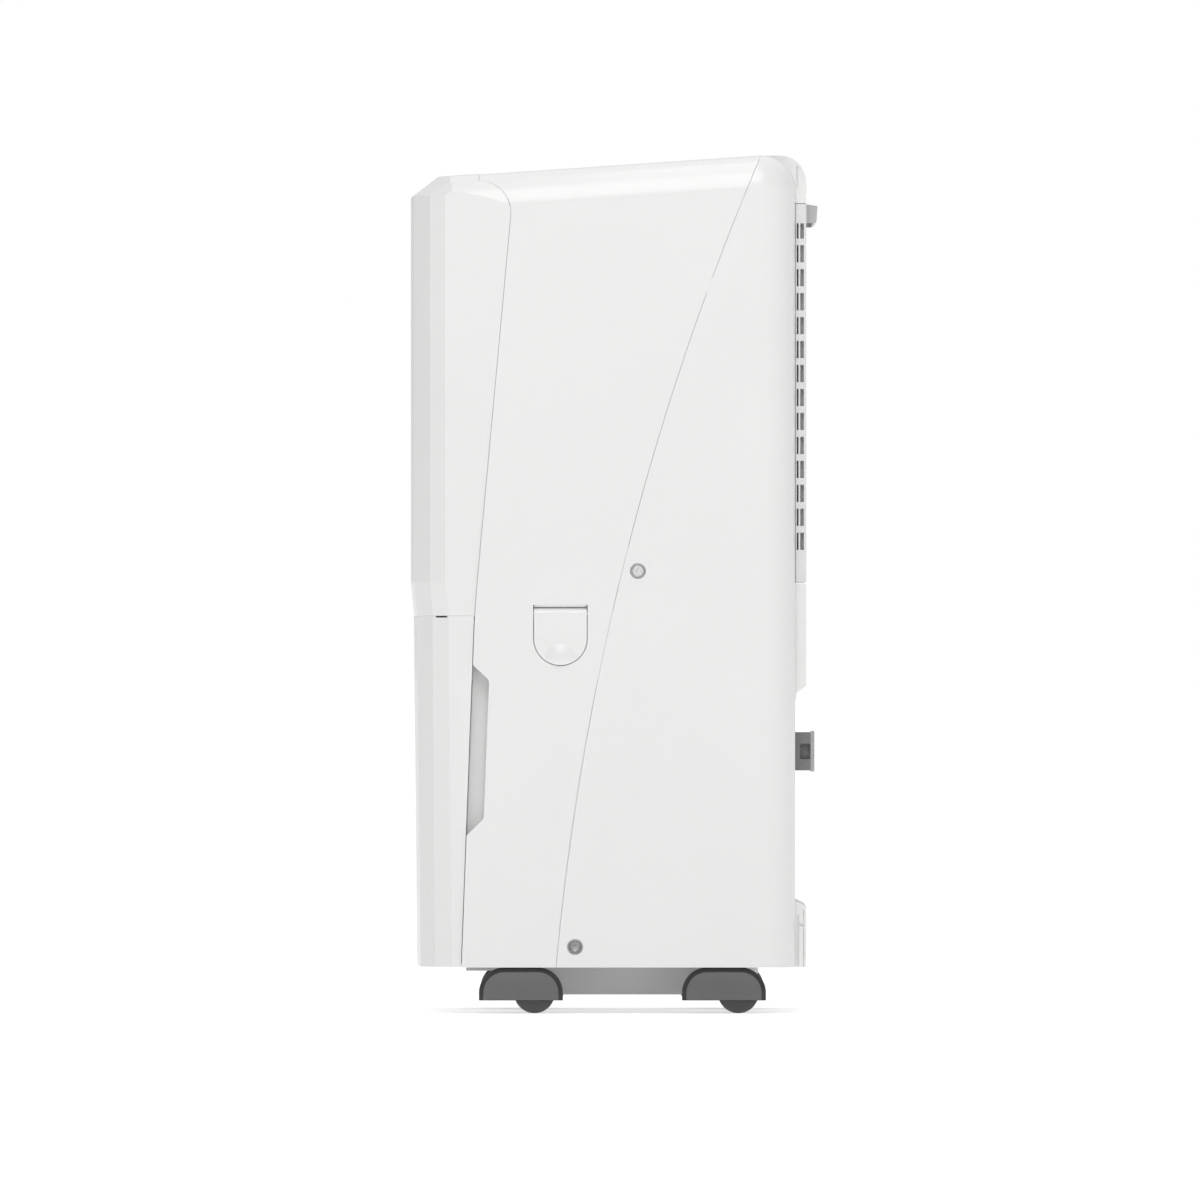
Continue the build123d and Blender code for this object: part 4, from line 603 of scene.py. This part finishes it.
def level_marks():
    """Graduation lines on the bucket's level window."""
    shape = bmesh.new()
    low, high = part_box("level_window")
    points = [vertex.co for vertex in nodes["level_window"].data.vertices]
    foot = min(point.y for point in points if point.z < low.z + EDGE_BAND)
    head = min(point.y for point in points if point.z > high.z - EDGE_BAND)
    for step in range(1, LEVEL_STEPS):
        share = step / LEVEL_STEPS
        z = low.z + share * (high.z - low.z)
        y = foot + share * (head - foot) + MARK_SUNK
        reach = LONG_MARK if step % 3 == 0 else SHORT_MARK
        plane = placed(Vector((MARK_X, y, z)), Vector((1, 0, 0)), Vector((0, 0, 1)))
        prism(shape, [(0, 0), (reach, 0), (reach, MARK_HEIGHT), (0, MARK_HEIGHT)], plane, INK)
    piece("level_marks", shape, "bucket", print_grey)


HOOD_TOP = 32.7 * MM              # crown of a caster hood above the floor
HOOD_ROUND = 18 * MM              # radius of its round corners
# width of the dark rim of painted shade left round each cover
COVER_INSET = 3.2 * MM
COVER_RISE = 0.5 * MM
COVER_FOOT = 0.3 * MM
COVER_SUNK = 0.2 * MM
COVER_EDGE = 0.2 * MM
COVER_POINTS = 14                 # along each round corner


def hood_covers(corner):
    """Paler cover let into each cheek of a caster hood, leaving the hood's painted shade as a dark rim
    round it.
    """
    shape = bmesh.new()
    low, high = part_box(f"caster_hood_{corner}")
    radius = HOOD_ROUND - COVER_INSET
    top = HOOD_TOP - COVER_INSET
    near, far = low.y + COVER_INSET, high.y - COVER_INSET
    foot = low.z + COVER_FOOT
    arc = ring_points(radius, COVER_POINTS, math.pi, -math.pi / 2, (near + radius, top - radius))
    arc += ring_points(radius, COVER_POINTS, math.pi / 2, -math.pi / 2, (far - radius, top - radius))
    outline = [(near, foot)] + arc + [(far, foot)]
    for side, x in ((-1, low.x), (1, high.x)):
        plane = placed(Vector((x - side * COVER_SUNK, 0, 0)), Vector((0, side, 0)), Vector((0, 0, 1)))
        turned = [(y * side, z) for y, z in outline]
        prism(shape, turned, plane, COVER_RISE, COVER_EDGE)
    piece(f"hood_cover_{corner}", shape, f"caster_{corner}", cover_grey)


SCREW_RADIUS = 4.2 * MM
SCREW_SPLIT_Z = 200 * MM          # the pair above this is white
SCREW_RIM = 0.1 * MM              # points this near the furthest ones lie on a head's rim
SCREW_RINGS = 12
SCREW_SPOKES = 48
DOME_DROP = 1.1 * MM
DOME_POWER = 2.4
SLOT_HALF = 0.55 * MM
SLOT_REACH = 2.3 * MM
SLOT_DEPTH = 1.2 * MM
SKIRT_DROP = 1.4 * MM


def screws():
    """Domed cross-recess screws in the casing's round pockets."""
    shape = bmesh.new()
    points = [vertex.co for vertex in nodes["casing_screws"].data.vertices]
    head_x = max(abs(point.x) for point in points)
    rims = [point for point in points if abs(point.x) > head_x - SCREW_RIM]
    heads = {(point.x > 0, point.z > SCREW_SPLIT_Z): [] for point in rims}
    for point in rims:
        heads[(point.x > 0, point.z > SCREW_SPLIT_Z)].append(point)
    for (right, _), rim in heads.items():
        middle = sum(rim, Vector()) / len(rim)
        side = 1 if right else -1
        plane = placed(middle, Vector((0, side, 0)), Vector((0, 0, 1)))
        screw_head(shape, plane)
    made = piece("screw_heads", shape, "cabinet", steel)
    made.data.materials.append(pale_screw.material)
    for face in made.data.polygons:
        face.use_smooth = True
        face.material_index = int(face.center.z > SCREW_SPLIT_Z)
    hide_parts("casing_screws")


def screw_head(shape, plane):
    """One domed head with a cross cut into it, made as a grid of polar cells."""
    rows = []
    for ring in range(SCREW_RINGS + 1):
        share = ring / SCREW_RINGS
        row = []
        for spoke in range(SCREW_SPOKES):
            turn = 2 * math.pi * spoke / SCREW_SPOKES
            u = SCREW_RADIUS * share * math.cos(turn)
            v = SCREW_RADIUS * share * math.sin(turn)
            height = -DOME_DROP * share**DOME_POWER
            if min(abs(u), abs(v)) < SLOT_HALF and max(abs(u), abs(v)) < SLOT_REACH:
                height -= SLOT_DEPTH
            row.append(shape.verts.new(plane @ Vector((u, v, height))))
        rows.append(row)
    drop = plane.to_3x3() @ Vector((0, 0, -SKIRT_DROP))
    skirt = [shape.verts.new(vert.co + drop) for vert in rows[-1]]
    rows.append(skirt)
    for inner_row, outer_row in zip(rows, rows[1:]):
        for i in range(SCREW_SPOKES):
            j = (i + 1) % SCREW_SPOKES
            if inner_row is rows[0]:
                shape.faces.new((inner_row[0], outer_row[i], outer_row[j]))
            else:
                shape.faces.new((inner_row[i], outer_row[i], outer_row[j], inner_row[j]))
    for spare in rows[0][1:]:
        shape.verts.remove(spare)


SEAT_X = 191.8 * MM               # the strip's inner face
SEAT_FOOT = 0.4 * MM              # above the flap
SEAT_HEAD = 4.5 * MM
SEAT_THICK = 1.0 * MM
SEAT_EDGE = 0.3 * MM


def flap_seat():
    """Rim in the wall behind the gap above the drain flap."""
    shape = bmesh.new()
    low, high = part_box("drain_flap")
    plane = placed(Vector((SEAT_X, 0, 0)), Vector((0, 1, 0)), Vector((0, 0, 1)))
    foot, head = high.z + SEAT_FOOT, high.z + SEAT_HEAD
    outline = [(low.y, foot), (high.y, foot), (high.y, head), (low.y, head)]
    prism(shape, outline, plane, SEAT_THICK, SEAT_EDGE)
    piece("flap_seat", shape, "cabinet", white)


digits()
lamps()
flap_seat()
level_marks()
screws()
for name in BUTTONS:
    button_mark(name)
for corner in CORNERS:
    hood_covers(corner)

# Floor, light and camera


def floor():
    """Wide pale studio floor."""
    bpy.ops.mesh.primitive_grid_add(x_subdivisions=FLOOR_CELLS, y_subdivisions=FLOOR_CELLS, size=FLOOR_SIZE)
    ground = bpy.context.object
    ground.name = "studio_floor"
    shade = Shade("studio_floor")
    shade.color(shade.ramp(shade.noise(3.0), [(0.3, grey(246)), (0.7, grey(249))]))
    shade.set(Roughness=0.85, Emission_Color=(1, 1, 1, 1), Emission_Strength=FLOOR_GLOW)
    ground.data.materials.append(shade.material)


def softbox(name, place, target, size, power):
    """Rectangular soft light, unseen by the camera."""
    data = bpy.data.lights.new(name, "AREA")
    data.shape = "RECTANGLE"
    data.size, data.size_y = size
    data.energy = power
    light = bpy.data.objects.new(name, data)
    light.location = place
    light.rotation_euler = (Vector(target) - Vector(place)).to_track_quat("-Z", "Y").to_euler()
    light.visible_camera = False
    bpy.context.scene.collection.objects.link(light)


def graded(tree, source, start, end, low, high):
    """Smooth change from low to high as source goes from start to end."""
    made = tree.nodes.new("ShaderNodeMapRange")
    made.interpolation_type = "SMOOTHSTEP"
    for name, value in (("From Min", start), ("From Max", end), ("To Min", low), ("To Max", high)):
        made.inputs[name].default_value = value
    tree.links.new(source, made.inputs["Value"])
    return made.outputs["Result"]


def surroundings():
    """White backdrop, whose light is strong from above and behind, and weak from ahead of the part."""
    world = bpy.data.worlds.new("studio")
    bpy.context.scene.world = world
    world.use_nodes = True
    tree = world.node_tree
    place = tree.nodes.new("ShaderNodeTexCoord")
    split = tree.nodes.new("ShaderNodeSeparateXYZ")
    tree.links.new(place.outputs["Generated"], split.inputs["Vector"])
    sides = graded(tree, split.outputs["Y"], *FRONT_BAND, FRONT_LIGHT, ROOM_LIGHT)
    above = graded(tree, split.outputs["Z"], *SKY_BAND, 0.0, SKY_LIGHT)
    behind = graded(tree, split.outputs["X"], *BACK_BAND, 0.0, BACK_LIGHT)
    total = tree.nodes.new("ShaderNodeMath")
    all_round = tree.nodes.new("ShaderNodeMath")
    seen = tree.nodes.new("ShaderNodeLightPath")
    choice = tree.nodes.new("ShaderNodeMix")
    choice.inputs["B"].default_value = 1.0
    tree.links.new(sides, total.inputs[0])
    tree.links.new(above, total.inputs[1])
    tree.links.new(total.outputs["Value"], all_round.inputs[0])
    tree.links.new(behind, all_round.inputs[1])
    tree.links.new(seen.outputs["Is Camera Ray"], choice.inputs["Factor"])
    tree.links.new(all_round.outputs["Value"], choice.inputs["A"])
    tree.links.new(choice.outputs["Result"], tree.nodes["Background"].inputs["Strength"])
    tree.nodes["Background"].inputs["Color"].default_value = (1, 1, 1, 1)


floor()
surroundings()
for box in SOFTBOXES:
    softbox(*box)

view_y = (PHOTO_SIDE / 2 - PHOTO_ORIGIN[0]) * PHOTO_SCALE
view_z = (PHOTO_ORIGIN[1] - PHOTO_SIDE / 2) * PHOTO_SCALE
camera_data = bpy.data.cameras.new("camera")
camera_data.sensor_width = SENSOR
camera_data.lens = SENSOR * CAMERA_DISTANCE / (PHOTO_SIDE * PHOTO_SCALE)
camera = bpy.data.objects.new("camera", camera_data)
camera.location = (cad_high.x + CAMERA_DISTANCE, view_y, view_z)
camera.rotation_euler = (math.pi / 2, 0, math.pi / 2)
bpy.context.scene.collection.objects.link(camera)
bpy.context.scene.camera = camera
bpy.context.scene.view_settings.view_transform = "Standard"
